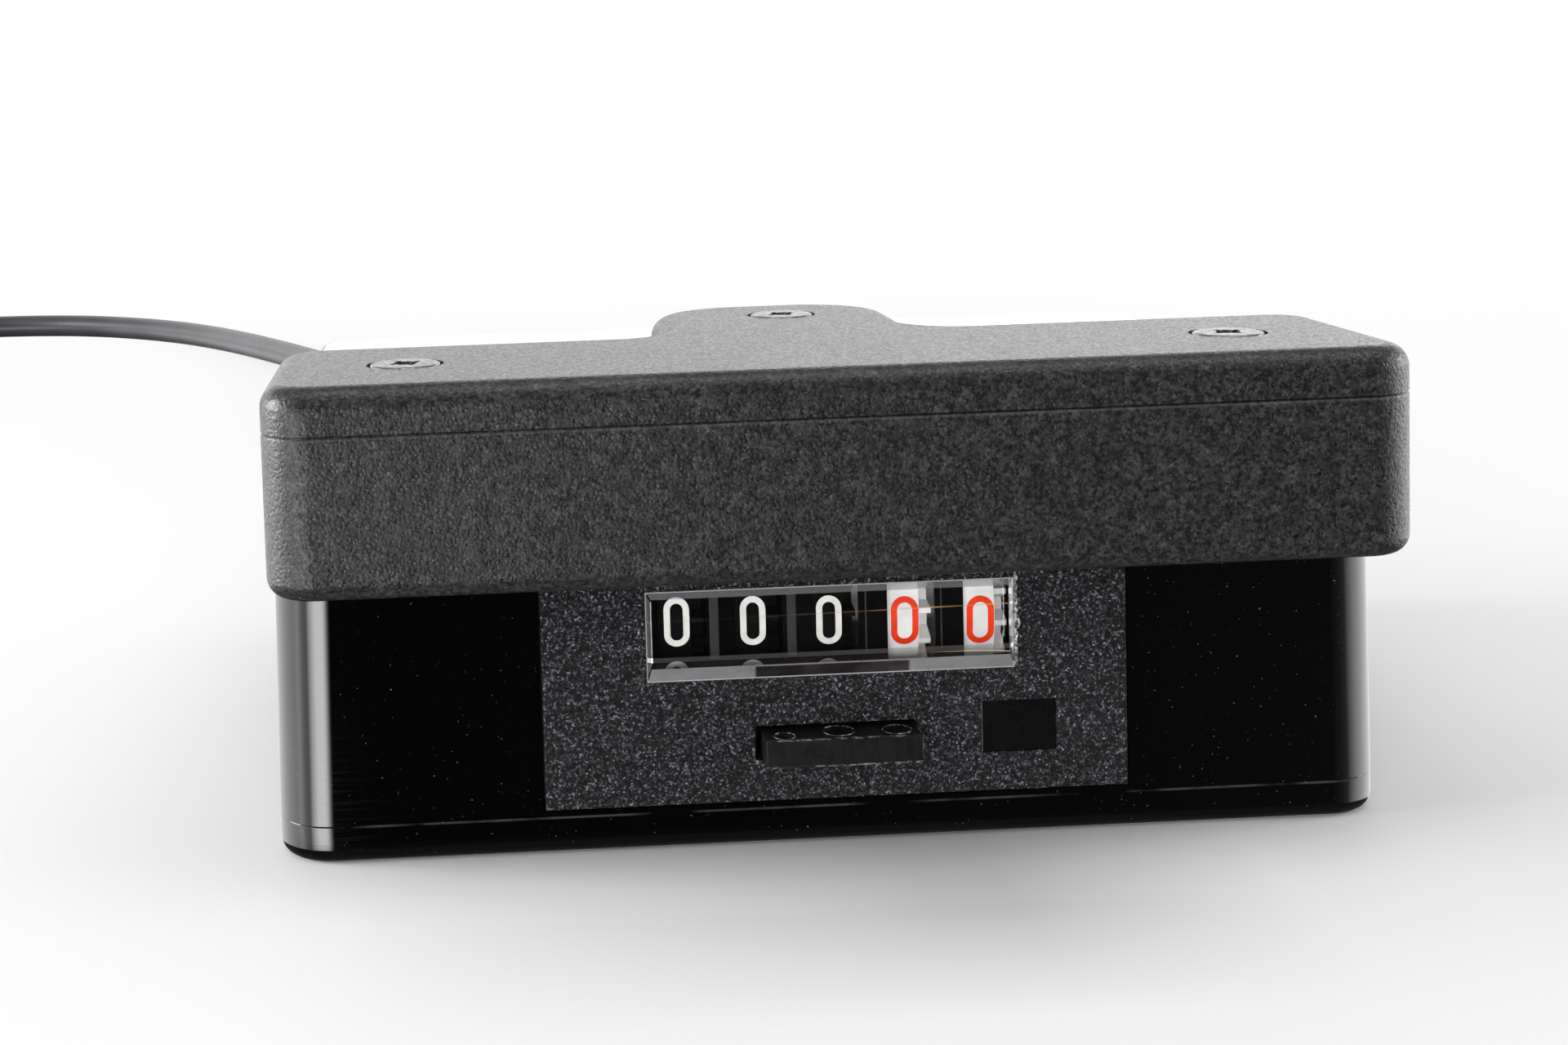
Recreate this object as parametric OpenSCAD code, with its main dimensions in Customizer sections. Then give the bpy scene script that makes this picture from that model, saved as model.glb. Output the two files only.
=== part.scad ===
// Rally trip meter: a glossy black instrument case with an electromechanical
// five-wheel counter in its front wall, a lamp hood screwed on top of it, and a
// lead at the back. Millimetres, +Z up. X runs to the right, Y to the back.
// The origin is the middle of the footprint of the case and hood, at the surface
// that the case stands on.

/* [Case] */
// Width of the case at its foot
case_w = 101.6; // [100.6:0.2:108]
// Depth of the case at its foot
case_d = 76; // [75:1:90]
// Room from the counter's sleeve up to the case's top
top_room = 7.7; // [7.3:0.1:11]
// Draft of the moulded sides and back, in degrees
draft = 1; // [0.5:0.25:1.25]
// Wall of the moulded case
wall = 2.4; // [2.2:0.1:2.6]
// Radius of the case's upright corners
corner_r = 4.5; // [4:0.25:6]
// Rounding of the case's top edge
top_round = 1.5; // [1:0.25:2]
// Thickness of the base plate
base_t = 3.6; // [3.2:0.1:3.8]
// Rounding of the base plate's lower edge
foot_round = 1.4; // [0.8:0.2:2]
// Radius of the screw bosses in the case's corners
boss_r = 3.4; // [3:0.1:3.6]
// Height of the rim that locates the base plate
lip_h = 1.6; // [1.2:0.1:2]

/* [Hood] */
// Reach of the hood in front of the case
hood_over = 9; // [8.6:0.2:12]
// Depth of the hood's bar, front to back
bar_d = 27; // [25:0.5:32]
// Width of the tongue that runs back over the case
tongue_w = 24.9; // [22:0.1:30]
// Distance from the hood's front to the tongue's end
tongue_reach = 50.6; // [48:0.2:60]
// Radius of the tongue's outer corners
tongue_r = 9.5; // [7:0.5:11]
// Radius of the fillets between tongue and bar
fillet_r = 5.5; // [3:0.5:8]
// Radius of the hood's upright corners
hood_r = 4.4; // [3.5:0.1:6]
// Thickness of the hood's flange on the case
flange_t = 2; // [1.8:0.1:3]
// Drop of the hood's front below the case's top
body_drop = 12.3; // [11.6:0.1:13]
// Wall of the hood's lamp trough
hood_wall = 2.2; // [1.8:0.1:2.4]
// Thickness of the hood's lid
lid_t = 4.2; // [3.8:0.1:5]
// Rounding of the lid's top edge
lid_round = 1.2; // [0.6:0.1:1.4]
// Rounding of the hood body's lower edge
hood_round = 0.9; // [0.5:0.1:1.4]
// Distance from the hood's sides to its front screws
screw_side = 12.4; // [11:0.1:14]
// Distance from the hood's front to its front screws
screw_inset = 13.4; // [13.2:0.1:15]
// How far the tongue sits off the middle
tongue_x = -0.4; // [-1:0.1:1]
// How far the tongue's screw sits off the middle
tongue_screw_x = 0.6; // [-1:0.1:1]
// Distance from the hood's front to the tongue's screw
tongue_screw = 40.2; // [38:0.2:42]
// Diameter of the countersunk heads
screw_head_d = 6.8; // [6:0.1:7.4]
// Diameter of the screw threads
screw_d = 3.5; // [3:0.1:3.9]
// Length of the hood screws
screw_len = 12.4; // [11:0.2:13]

/* [Lamp] */
// Length of the lamp board and its diffuser
lamp_len = 66; // [50:1:74]
// Width of the light slot in the hood's floor
lamp_slot = 3; // [2:0.1:3.4]
// Number of lamps
lamp_count = 4; // [2:1:8]

/* [Counter front] */
// How far the bezel reaches past the sleeve all round
bezel_lip = 1.5; // [1.3:0.1:3]
// Thickness of the bezel's plate
bezel_t = 2; // [1.8:0.1:2.2]
// How far the bezel stands proud of the case
bezel_proud = 0.4; // [0.2:0.1:0.6]
// Height of the bezel's lower edge above the base plate
bezel_lift = 0.6; // [0.5:0.1:1.5]
// How much wider the window is than the bank from first to last wheel
window_margin = 5.4; // [5:0.1:6]
// Height of the window
window_h = 8.25; // [7.6:0.05:9]
// Height of the window's middle, and of the wheels' axis, over the bezel's middle
window_lift = 1.5; // [1.4:0.1:1.6]
// Width of the reset button
button_w = 14; // [10:0.2:16]
// Height of the reset button
button_h = 2.6; // [2.2:0.1:2.8]
// How far the reset button stands out at rest
button_out = 3.2; // [3:0.1:4]
// Drop from the bezel's middle to the reset button's middle
button_drop = 8.7; // [8.5:0.1:8.8]
// Travel of the reset button
button_travel = 2.5; // [2:0.1:2.6]
// Width of the lock blank
blank_w = 6.8; // [5:0.1:7.4]
// Height of the lock blank
blank_h = 4.7; // [4:0.1:5]

/* [Counter works] */
// Diameter of the number wheels
wheel_d = 19.6; // [19:0.1:19.7]
// Distance from one number wheel to the next
wheel_pitch = 7; // [7:0.02:7.06]
// Width of a wheel's number rim
rim_w = 3; // [2.6:0.1:3.2]
// Teeth of a wheel's gear ring
ring_teeth = 20; // [20:1:20]
// Teeth of a carry pinion
pinion_teeth = 8; // [8:1:8]
// Diameter of the wheels' shaft
shaft_d = 3; // [2.6:0.1:3.2]
// Diameter of the pinions' shaft
pin_d = 2; // [1.8:0.1:2.2]
// Room from the last wheel's middle to the frame plate
end_room = 6; // [5.9:0.1:6.4]
// Room for the button's springs beside the frame plates
spring_room = 3; // [2.9:0.1:3.4]
// Height of the counter's sleeve
sleeve_h = 25; // [24.8:0.1:25.2]
// Room in the sleeve behind the magnet
back_room = 2.2; // [2:0.1:4]
// Wall of the sleeve
sleeve_t = 1; // [0.9:0.1:1.1]
// Thickness of the steel frame plates
frame_t = 1; // [0.8:0.1:1.2]

/* [Electronics] */
// Height of the main board above the foot
board_z = 8.6; // [7.6:0.1:9.2]
// Thickness of the circuit boards
board_t = 1.6; // [1:0.1:1.6]
// Width of the main board
board_w = 76; // [70:1:80]

/* [Lead] */
// Diameter of the lead
lead_d = 6; // [5:0.1:6]
// Radius of the strain relief's flanges
relief_r = 7; // [6:0.5:7]

/* [Clearances] */
// Gap round a piece that sits in a panel opening
fit = 0.15; // [0.1:0.05:0.25]
// Gap round a shaft in its bore
run = 0.05; // [0.03:0.01:0.08]
// Gap round a screw in its hole
screw_fit = 0.05; // [0.03:0.01:0.08]
// Gap between moving pieces that pass each other
pass = 0.3; // [0.25:0.05:0.35]

/* [Hidden] */
$fn = 48;
eps = 0.01;

bezel_h = sleeve_h + 2 * bezel_lip;
bezel_z = base_t + bezel_lift + bezel_h / 2;
window_z = bezel_z + window_lift;
button_z = bezel_z - button_drop;
case_h = bezel_z + sleeve_h / 2 + top_room;
all_d = hood_over + case_d;
hood_w = case_w - 2 * (case_h - base_t) * tan(draft);
hood_front = -all_d / 2;
case_front = hood_front + hood_over;
case_back = all_d / 2;
hood_bottom = case_h - body_drop;
lid_z = case_h + flange_t;
lid_top = lid_z + lid_t;
inner_top = case_h - wall;
front_inner = case_front + wall;

// The counter, from its middle outwards: wheels, frame plates, springs, sleeve, bezel
wheel_count = 5;
bank_w = (wheel_count - 1) * wheel_pitch;
plate_in = bank_w / 2 + end_room;
plate_out = plate_in + frame_t;
sleeve_w = 2 * (plate_out + spring_room + sleeve_t);
bezel_w = sleeve_w + 2 * bezel_lip;
window_w = bank_w + window_margin;

// The counter, from its front to its back
bezel_front = case_front - bezel_proud;
bezel_back = bezel_front + bezel_t;
lens_flange_t = 0.8;
mask_t = 0.5;
mask_front = bezel_back + lens_flange_t;
mask_gap = 0.4;
wheel_r = wheel_d / 2;
axis_y = mask_front + mask_t + mask_gap + wheel_r;
axis_z = window_z;
bank_x = -0.1;
window_x = -0.4;
button_x = 0.1;
blank_x = 16.5;
blank_z = bezel_z - 8;
sleeve_floor = bezel_z - sleeve_h / 2 + sleeve_t;
sleeve_roof = bezel_z + sleeve_h / 2 - sleeve_t;

// Gear rings and pinions: one module, with play so that the train runs freely
gear_m = 0.86;
mesh_play = 0.06;
gear_d = 12 * gear_m + 8 * gear_m;
ring_tip = ring_teeth * gear_m / 2 + 0.8;
ring_root = ring_teeth * gear_m / 2 - 1;
pinion_tip = pinion_teeth * gear_m / 2 + 0.8;
pinion_root = pinion_teeth * gear_m / 2 - 0.95;
mesh_dist = (ring_teeth + pinion_teeth) * gear_m / 2 + mesh_play;
mesh_angle = 25;
pinion_y = axis_y + mesh_dist * cos(mesh_angle);
pinion_z = axis_z + mesh_dist * sin(mesh_angle);
pawl_angle = 52;

// Stations across one wheel, from its middle
ring_from = rim_w / 2 - 0.1;
ring_to = rim_w / 2 + 1.2;
hub_to = ring_to + 0.2;
carry_from = -rim_w / 2 - 1.1;
heart_from = carry_from - 1;
heart_low = 2.3;
heart_high = 3.2;
hammer_t = 0.9;
wheel_names = ["hundreds", "tens", "units", "tenths", "hundredths"];
function wheel_x(i) = bank_x + (i - (wheel_count - 1) / 2) * wheel_pitch;

// The button's arms run inside the frame plates
arm_in = plate_in - 1.8;
arm_out = plate_in - pass;
yoke_d = 2.1;
yoke_front = mask_front + 0.1;
yoke_back = yoke_front + yoke_d;
button_low = button_z - button_h / 2;
button_top = button_z + button_h / 2;

// The reset rocker's pivot, behind and below the wheels
rocker_y = axis_y + 11.4;
rocker_z = axis_z - 5;
rocker_r = 2;
ear_front = rocker_y - 1.6;
arm_end = ear_front - 0.4;

// The counter's magnet
magnet_x = 8;
magnet_y = axis_y + 21.9;
coil_r = 5;
core_r = 2;
yoke_t = 1.5;
magnet_foot = sleeve_floor;
core_top = axis_z + 4.5;
leg_front = magnet_y + coil_r + 1.1;
lug_reach = leg_front + 4.2;
sleeve_end = lug_reach + back_room;
hinge_y = leg_front + 0.6;
hinge_z = core_top + 1.6;
hinge_r = 0.6;
armature_t = 1.4;
armature_z = core_top + 0.4;

terminal_z = bezel_z;

// Where the lead leaves the case, as the route of its points has it
lead_x = -30;
lead_z = 11;
relief_end = 64.5;

// A rounded rectangle, from circles and squares
module round_rect(w, d, r) {
    square([w - 2 * r, d], center = true);
    square([w, d - 2 * r], center = true);
    for (x = [-1, 1], y = [-1, 1])
        translate([x * (w / 2 - r), y * (d / 2 - r)]) circle(r);
}

// A disc with a rounded upper edge
module edge_disc(r, e) {
    rotate_extrude($fn = 32) {
        square([r - e, e]);
        square([r, eps]);
        translate([r - e, 0]) intersection() {
            circle(e, $fn = 24);
            square(e);
        }
    }
}

// Turns a profile in local x and y into one in Y and Z, extruded along +X
module across(x) translate([x, 0, 0]) rotate([90, 0, 90]) children();

// A round rod along X
module rod_x(x0, x1, y, z, r)
    translate([x0, y, z]) rotate([0, 90, 0]) cylinder(r = r, h = x1 - x0);

// A round rod along Y
module rod_y(x, y0, y1, z, r)
    translate([x, y0, z]) rotate([-90, 0, 0]) cylinder(r = r, h = y1 - y0);

// A box between two corners
module span(a, b) translate(a) cube(b - a);

// Tubes swept along a path
function unit(v) = v / norm(v);
function tangent(p, i) = unit(p[min(i + 1, len(p) - 1)] - p[max(i - 1, 0)]);
function across_of(n, t) = unit(n - t * (n * t));
function normals(p, i, n) = i == len(p) ? [] :
    let (m = across_of(n, tangent(p, i))) concat([m], normals(p, i + 1, m));

module tube(p, r, sides, start = [0, 0, 1]) {
    ns = normals(p, 0, start);
    rings = len(p);
    points = [for (i = [0:rings - 1]) let (t = tangent(p, i), n = ns[i], b = cross(t, n))
        for (j = [0:sides - 1]) let (a = 360 * (j + 0.5) / sides) p[i] + r * (cos(a) * n + sin(a) * b)];
    walls = [for (i = [0:rings - 2], j = [0:sides - 1])
        let (k = (j + 1) % sides, a = i * sides + j, b = i * sides + k, c = a + sides, d = b + sides)
        each [[a, c, b], [b, c, d]]];
    low = [for (j = [1:sides - 2]) [0, j, j + 1]];
    e = (rings - 1) * sides;
    high = [for (j = [1:sides - 2]) [e, e + j + 1, e + j]];
    polyhedron(points, concat(walls, low, high));
}

// The outside or the inside of the drafted case: an inset block with its front upright
module case_block(inset, z0, z1, r, e) {
    lean0 = (z0 - base_t) * tan(draft);
    lean1 = (z1 - base_t) * tan(draft);
    hull() {
        for (side = [-1, 1]) {
            translate([side * (case_w / 2 - inset - lean0 - r), case_front + inset + r, z0]) cylinder(r = r, h = eps, $fn = 32);
            translate([side * (case_w / 2 - inset - lean0 - r), case_back - inset - lean0 - r, z0]) cylinder(r = r, h = eps, $fn = 32);
            translate([side * (case_w / 2 - inset - lean1 - r), case_front + inset + r, z1 - e]) edge_disc(r, e);
            translate([side * (case_w / 2 - inset - lean1 - r), case_back - inset - lean1 - r, z1 - e]) edge_disc(r, e);
        }
    }
}

boss_inset = wall + boss_r - 0.6;
boss_x = case_w / 2 - boss_inset;
boss_y = [case_front + boss_inset, case_back - boss_inset];
hood_boss_r = 3.2;
hood_boss_h = 4.6;
screw_x = hood_w / 2 - screw_side;
hood_screws = [[-screw_x, hood_front + screw_inset], [screw_x, hood_front + screw_inset],
    [tongue_screw_x, hood_front + tongue_screw]];
lamp_hole = [20, case_front + 8.5];
lamp_hole_r = 2;
relief_neck_r = relief_r - 1.5;

module case_shell() color("#0b0b0d") difference() {
    union() {
        difference() {
            case_block(0, base_t, case_h, corner_r, top_round);
            case_block(wall, base_t - 1, inner_top, max(corner_r - wall, 1.2), 0.8);
        }
        for (side = [-1, 1], y = boss_y)
            translate([side * boss_x, y, base_t]) cylinder(r = boss_r, h = inner_top - base_t + eps);
        for (p = hood_screws)
            translate([p[0], p[1], inner_top - hood_boss_h]) cylinder(r = hood_boss_r, h = hood_boss_h + eps);
    }
    // Rebate for the bezel's flange and opening for the sleeve
    span([-bezel_w / 2 - fit, case_front - 1, bezel_z - bezel_h / 2 - fit],
        [bezel_w / 2 + fit, bezel_back, bezel_z + bezel_h / 2 + fit]);
    span([-sleeve_w / 2 - fit, case_front - 1, bezel_z - sleeve_h / 2 - fit],
        [sleeve_w / 2 + fit, front_inner + 1, bezel_z + sleeve_h / 2 + fit]);
    rod_y(lead_x, case_back - wall - 3, case_back + 1, lead_z, relief_neck_r + fit);
    translate([lamp_hole[0], lamp_hole[1], inner_top - 1]) cylinder(r = lamp_hole_r, h = wall + 2);
    for (side = [-1, 1], y = boss_y)
        translate([side * boss_x, y, base_t - 1]) cylinder(r = base_screw_r + screw_fit, h = base_screw_len);
    for (p = hood_screws)
        translate([p[0], p[1], inner_top - hood_boss_h - 1]) cylinder(r = screw_d / 2 + screw_fit, h = hood_boss_h + wall + 2);
}

base_screw_r = 1.5;
base_head_r = 2.9;
base_screw_len = 12;
base_sink = 0.25;
head_rim = 0.2;
pillar_r = 2.5;
pillar_in = 3.2;
board_y = sleeve_end + 2.3;
board_d = case_back - wall - 2.8 - board_y;
pillars = [for (x = [-1, 1], y = [board_y + pillar_in, board_y + board_d - pillar_in]) [x * (board_w / 2 - pillar_in), y]];
pilot_r = 1.1;

module base_plate() color("#0d0d0f") difference() {
    union() {
        translate([0, case_front + case_d / 2, base_t]) mirror([0, 0, 1]) hull() {
            for (x = [-1, 1], y = [-1, 1])
                translate([x * (case_w / 2 - corner_r), y * (case_d / 2 - corner_r), 0]) {
                    cylinder(r = corner_r, h = base_t - foot_round, $fn = 32);
                    translate([0, 0, base_t - foot_round]) edge_disc(corner_r, foot_round);
                }
        }
        // The rim that locates the plate inside the case
        difference() {
            translate([0, case_front + case_d / 2, base_t - eps]) linear_extrude(lip_h + eps) difference() {
                round_rect(case_w - 2 * wall - 4 * fit, case_d - 2 * wall - 4 * fit, 1.5);
                round_rect(case_w - 2 * wall - 4 * fit - 2.8, case_d - 2 * wall - 4 * fit - 2.8, 1);
            }
            span([-sleeve_w / 2 - 4, case_front, base_t], [sleeve_w / 2 + 4, case_front + 8, base_t + 3]);
            for (side = [-1, 1], y = boss_y)
                translate([side * boss_x, y, base_t]) cylinder(r = boss_r + pass, h = 3);
            span([lead_x - 8, case_back - wall - 6, base_t], [lead_x + 8, case_back, base_t + 3]);
        }
        for (p = pillars) translate([p[0], p[1], base_t - eps]) cylinder(r = pillar_r, h = board_z - base_t + eps);
    }
    for (side = [-1, 1], y = boss_y) translate([side * boss_x, y, -1]) {
        cylinder(r = base_screw_r + fit, h = base_t + 2);
        cylinder(r = base_head_r + fit, h = 1 + base_sink + head_rim + eps);
        translate([0, 0, 1 + base_sink + head_rim])
            cylinder(r1 = base_head_r + fit, r2 = base_screw_r + fit, h = base_head_r - base_screw_r);
    }
    for (p = pillars) translate([p[0], p[1], base_t]) cylinder(r = pilot_r + screw_fit, h = board_z);
}

// A countersunk screw with a cross recess, head up, its top at z = 0
module countersunk(head_r, r, length) difference() {
    union() {
        translate([0, 0, -head_rim]) cylinder(r = head_r, h = head_rim);
        translate([0, 0, -head_rim - (head_r - r)]) cylinder(r1 = r, r2 = head_r, h = head_r - r);
        translate([0, 0, -length]) cylinder(r = r, h = length - head_rim);
    }
    for (a = [0, 90]) rotate(a) translate([0, 0, 0.5]) cube([head_r * 1.1, head_r * 0.24, 3.2], center = true);
}

module base_screws() color("#8a8d90")
    for (side = [-1, 1], y = boss_y)
        translate([side * boss_x, y, base_sink]) mirror([0, 0, 1]) countersunk(base_head_r, base_screw_r, base_screw_len - 1.2);

// The T-shaped outline of the hood, seen from above
module hood_outline(inset = 0) {
    half = tongue_w / 2 - inset;
    corner_x = tongue_w / 2 - tongue_r;
    bar_mid = hood_front + bar_d / 2;
    f = fillet_r + inset;
    translate([0, bar_mid]) round_rect(hood_w - 2 * inset, bar_d - 2 * inset, hood_r - inset);
    translate([tongue_x, 0]) {
        translate([-half, bar_mid]) square([2 * half, tongue_reach - bar_d / 2 - tongue_r]);
        translate([-corner_x, bar_mid]) square([2 * corner_x, tongue_reach - inset - bar_d / 2]);
        for (side = [-1, 1]) {
            translate([side * corner_x, hood_front + tongue_reach - tongue_r]) circle(tongue_r - inset);
            translate([side * half, hood_front + bar_d - inset]) difference() {
                translate([side > 0 ? -1 : -f, -1]) square([f + 1, f + 1]);
                translate([side * f, f]) circle(f);
            }
        }
    }
}

trough_front = hood_front + hood_wall;
trough_wall = 1.9;
hood_back = case_front - fit;
trough_back = hood_back - trough_wall;
trough_y = (trough_front + trough_back) / 2;
trough_floor = hood_bottom + 2;
trough_half = hood_w / 2 - hood_wall - 0.4;
lamp_flange_t = 1;
post_top = trough_floor + 2.6;
groove_w = 2;
groove_z = lid_z - 1.2;

module hood_body() color("#1b1b1d") difference() {
    union() {
        // The front of the bar, hanging down before the case
        difference() {
            translate([0, 0, lid_z - flange_t]) mirror([0, 0, 1]) hull() {
                for (side = [-1, 1]) {
                    translate([side * (hood_w / 2 - hood_r), hood_front + hood_r, 0]) {
                        cylinder(r = hood_r, h = body_drop - hood_round, $fn = 32);
                        translate([0, 0, body_drop - hood_round]) edge_disc(hood_r, hood_round);
                    }
                    translate([side * (hood_w / 2 - 1) - 1, hood_back - 1, 0]) cube([2, 1, body_drop]);
                }
            }
            span([-trough_half, trough_front, trough_floor], [trough_half, trough_back, lid_z + 1]);
        }
        translate([0, 0, case_h]) linear_extrude(flange_t) hood_outline(0.1);
        for (side = [-1, 1])
            span([side * (lamp_len / 2 + 2.5) - 1.5, trough_front - 0.1, trough_floor - 0.1],
                [side * (lamp_len / 2 + 2.5) + 1.5, trough_back + 0.1, post_top]);
    }
    // The trough, open at the top for the lid
    span([-trough_half, trough_front, post_top], [trough_half, trough_back, lid_z + 1]);
    span([-lamp_len / 2, trough_y - lamp_slot / 2, hood_bottom - 1], [lamp_len / 2, trough_y + lamp_slot / 2, trough_floor + 1]);
    // Relief for the proud bezel behind the hood
    span([-bezel_w / 2 - 0.5, hood_back - bezel_proud - 0.1, hood_bottom - 1],
        [bezel_w / 2 + 0.5, hood_back + 1, bezel_z + bezel_h / 2 + 0.5]);
    // Channel and hole for the lamp's lead
    span([lamp_hole[0] - groove_w / 2, trough_back - 1, groove_z], [lamp_hole[0] + groove_w / 2, lamp_hole[1], lid_z + 1]);
    translate([lamp_hole[0], lamp_hole[1], case_h - 1]) cylinder(r = lamp_hole_r, h = flange_t + 2);
    for (p = hood_screws) translate([p[0], p[1], case_h - 1]) cylinder(r = screw_d / 2 + 0.1, h = flange_t + 2);
}

// A rounded upright block of the lid, between corners that share one radius
module lid_block(x, y0, y1, r) hull() for (side = [-1, 1], y = [y0 + r, y1 - r])
    translate([side * (x - r), y, lid_z]) {
        cylinder(r = r, h = lid_t - lid_round, $fn = 32);
        translate([0, 0, lid_t - lid_round]) edge_disc(r, lid_round);
    }

// A fillet between the bar and the tongue, with the lid's rounded top edge
module lid_fillet(side) {
    middle = side * (tongue_w / 2 + fillet_r / 2);
    difference() {
        span([middle - fillet_r / 2 - 0.5, hood_front + bar_d - 2.5, lid_z],
            [middle + fillet_r / 2 + 0.5, hood_front + bar_d + fillet_r, lid_top]);
        translate([side * (tongue_w / 2 + fillet_r), hood_front + bar_d + fillet_r, lid_z - 1]) rotate_extrude() {
            square([fillet_r, lid_t + 2]);
            translate([fillet_r - eps, lid_t - lid_round + 1]) difference() {
                square([lid_round, lid_round + 1]);
                translate([lid_round, 0]) circle(lid_round, $fn = 32);
            }
        }
    }
}

module hood_lid() color("#1c1c1e") difference() {
    union() {
        lid_block(hood_w / 2, hood_front, hood_front + bar_d, hood_r);
        translate([tongue_x, 0, 0]) {
            lid_block(tongue_w / 2, hood_front + bar_d - 2 * tongue_r, hood_front + tongue_reach, tongue_r);
            for (side = [-1, 1]) lid_fillet(side);
        }
        span([-trough_half + fit, trough_front + fit, lid_z - 1.5], [trough_half - fit, trough_back - fit, lid_z + 1]);
    }
    span([lamp_hole[0] - groove_w, trough_front, lid_z - 3], [lamp_hole[0] + groove_w, trough_back, lid_z]);
    for (p = hood_screws) translate([p[0], p[1], 0]) {
        translate([0, 0, lid_z - 1]) cylinder(r = screw_d / 2 + 0.1, h = lid_t + 2);
        translate([0, 0, lid_top - 0.3 - screw_head_d / 2 + screw_d / 2]) cylinder(r1 = screw_d / 2 + fit, r2 = screw_head_d / 2 + fit, h = screw_head_d / 2 - screw_d / 2);
        translate([0, 0, lid_top - 0.3 - eps]) cylinder(r = screw_head_d / 2 + fit, h = 1);
    }
}

module lid_screws() color("#d9d9d6")
    for (p = hood_screws) translate([p[0], p[1], lid_top - 0.06]) rotate(30) countersunk(screw_head_d / 2, screw_d / 2, screw_len);

module lamp_diffuser() color("#e8ecee") {
    span([-lamp_len / 2 + fit, trough_y - lamp_slot / 2 + fit, hood_bottom + 0.4],
        [lamp_len / 2 - fit, trough_y + lamp_slot / 2 - fit, trough_floor + eps]);
    span([-lamp_len / 2 - 0.5, trough_front + pass, trough_floor], [lamp_len / 2 + 0.5, trough_back - pass, trough_floor + lamp_flange_t]);
}

module lamp_board() color("#e6e6e2")
    span([-lamp_len / 2 - 4, trough_front + pass, post_top], [lamp_len / 2 + 4, trough_back - pass, post_top + 1]);

module lamp_leds() color("#f2e27a")
    for (i = [0:lamp_count - 1]) translate([(i - (lamp_count - 1) / 2) * lamp_len / lamp_count, trough_y, post_top - 1]) {
        translate([-1.75, -1.4, 0.3]) cube([3.5, 2.8, 0.7]);
        cylinder(r1 = 1, r2 = 1.3, h = 0.5);
    }

// The lamp's two-core lead, over the counter and down to the board
lamp_wire_r = 0.6;
over_z = sleeve_roof + sleeve_t + 2.6;
lamp_route = [[lamp_hole[0], trough_y, post_top + 1], [lamp_hole[0], trough_y, groove_z - 0.6],
    [lamp_hole[0], trough_y + 0.8, groove_z + 0.45], [lamp_hole[0], trough_back, groove_z + 0.6],
    [lamp_hole[0], lamp_hole[1] - 1.6, groove_z + 0.6], [lamp_hole[0], lamp_hole[1] - 0.4, groove_z],
    [lamp_hole[0], lamp_hole[1], case_h], [lamp_hole[0], lamp_hole[1], over_z + 1.2],
    [lamp_hole[0], lamp_hole[1] + 1.2, over_z], [lamp_hole[0], board_y - 1, over_z],
    [lamp_hole[0], board_y + 3, over_z - 1], [lamp_hole[0], board_y + 4, over_z - 5],
    [lamp_hole[0], board_y + 4, board_z + board_t]];
module lamp_lead() color("#b02a20") tube(lamp_route, lamp_wire_r, 6, [1, 0, 0]);

module counter_bezel() color("#26272a") difference() {
    union() {
        hull() {
            span([-bezel_w / 2 + 0.2, bezel_front, bezel_z - bezel_h / 2 + 0.2], [bezel_w / 2 - 0.2, bezel_back, bezel_z + bezel_h / 2 - 0.2]);
            span([-bezel_w / 2, bezel_front + 0.2, bezel_z - bezel_h / 2], [bezel_w / 2, bezel_back, bezel_z + bezel_h / 2]);
        }
    }
    span([window_x - window_w / 2, bezel_front - 1, window_z - window_h / 2], [window_x + window_w / 2, bezel_back + 1, window_z + window_h / 2]);
    span([button_x - button_w / 2 - pass, bezel_front - 1, button_low - pass],
        [button_x + button_w / 2 + pass, bezel_back + 1, button_top + pass]);
    span([blank_x - blank_w / 2 - fit, bezel_front - 1, blank_z - blank_h / 2 - fit],
        [blank_x + blank_w / 2 + fit, bezel_back + 1, blank_z + blank_h / 2 + fit]);
}

lens_in = 0.1;
lens_top = 0.75;
lens_bottom = 1.9;
lens_front = bezel_front + 0.3;
module counter_lens() color("#dfe6ea", 0.4) {
    hull() {
        span([window_x - window_w / 2 + lens_in, lens_front + 0.8, window_z - window_h / 2 + lens_in],
            [window_x + window_w / 2 - lens_in, bezel_back, window_z + window_h / 2 - lens_in]);
        span([window_x - window_w / 2 + 0.5, lens_front, window_z - window_h / 2 + lens_bottom],
            [window_x + window_w / 2 - 0.5, bezel_back, window_z + window_h / 2 - lens_top]);
    }
    span([window_x - window_w / 2 - 1.1, bezel_back, window_z - window_h / 2 - 1.1],
        [window_x + window_w / 2 + 1.1, mask_front, window_z + window_h / 2 + 1.1]);
}

module lock_blank() color("#0c0c0e") {
    span([blank_x - blank_w / 2, bezel_front + 0.05, blank_z - blank_h / 2], [blank_x + blank_w / 2, bezel_back + 0.3, blank_z + blank_h / 2]);
    span([blank_x - blank_w / 2 - 0.7, bezel_back, blank_z - blank_h / 2 - 0.6], [blank_x + blank_w / 2 + 0.7, bezel_back + 0.5, blank_z + blank_h / 2 + 0.6]);
}

module digit_mask() color("#101012") difference() {
    union() {
        span([window_x - window_w / 2 - 1.1, mask_front, window_z - 6.4], [window_x + window_w / 2 + 1.1, mask_front + mask_t, window_z + 6.4]);
    }
    for (i = [0:wheel_count - 1])
        span([wheel_x(i) - rim_w / 2 - 0.1, mask_front - 1, window_z - 5], [wheel_x(i) + ring_to + 0.1, mask_front + 1, window_z + 5]);
}

module counter_sleeve() color("#2a2a2c") difference() {
    span([-sleeve_w / 2, bezel_back, bezel_z - sleeve_h / 2], [sleeve_w / 2, sleeve_end, bezel_z + sleeve_h / 2]);
    span([-sleeve_w / 2 + sleeve_t, bezel_back - 1, sleeve_floor], [sleeve_w / 2 - sleeve_t, sleeve_end + 1, sleeve_roof]);
}

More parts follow.
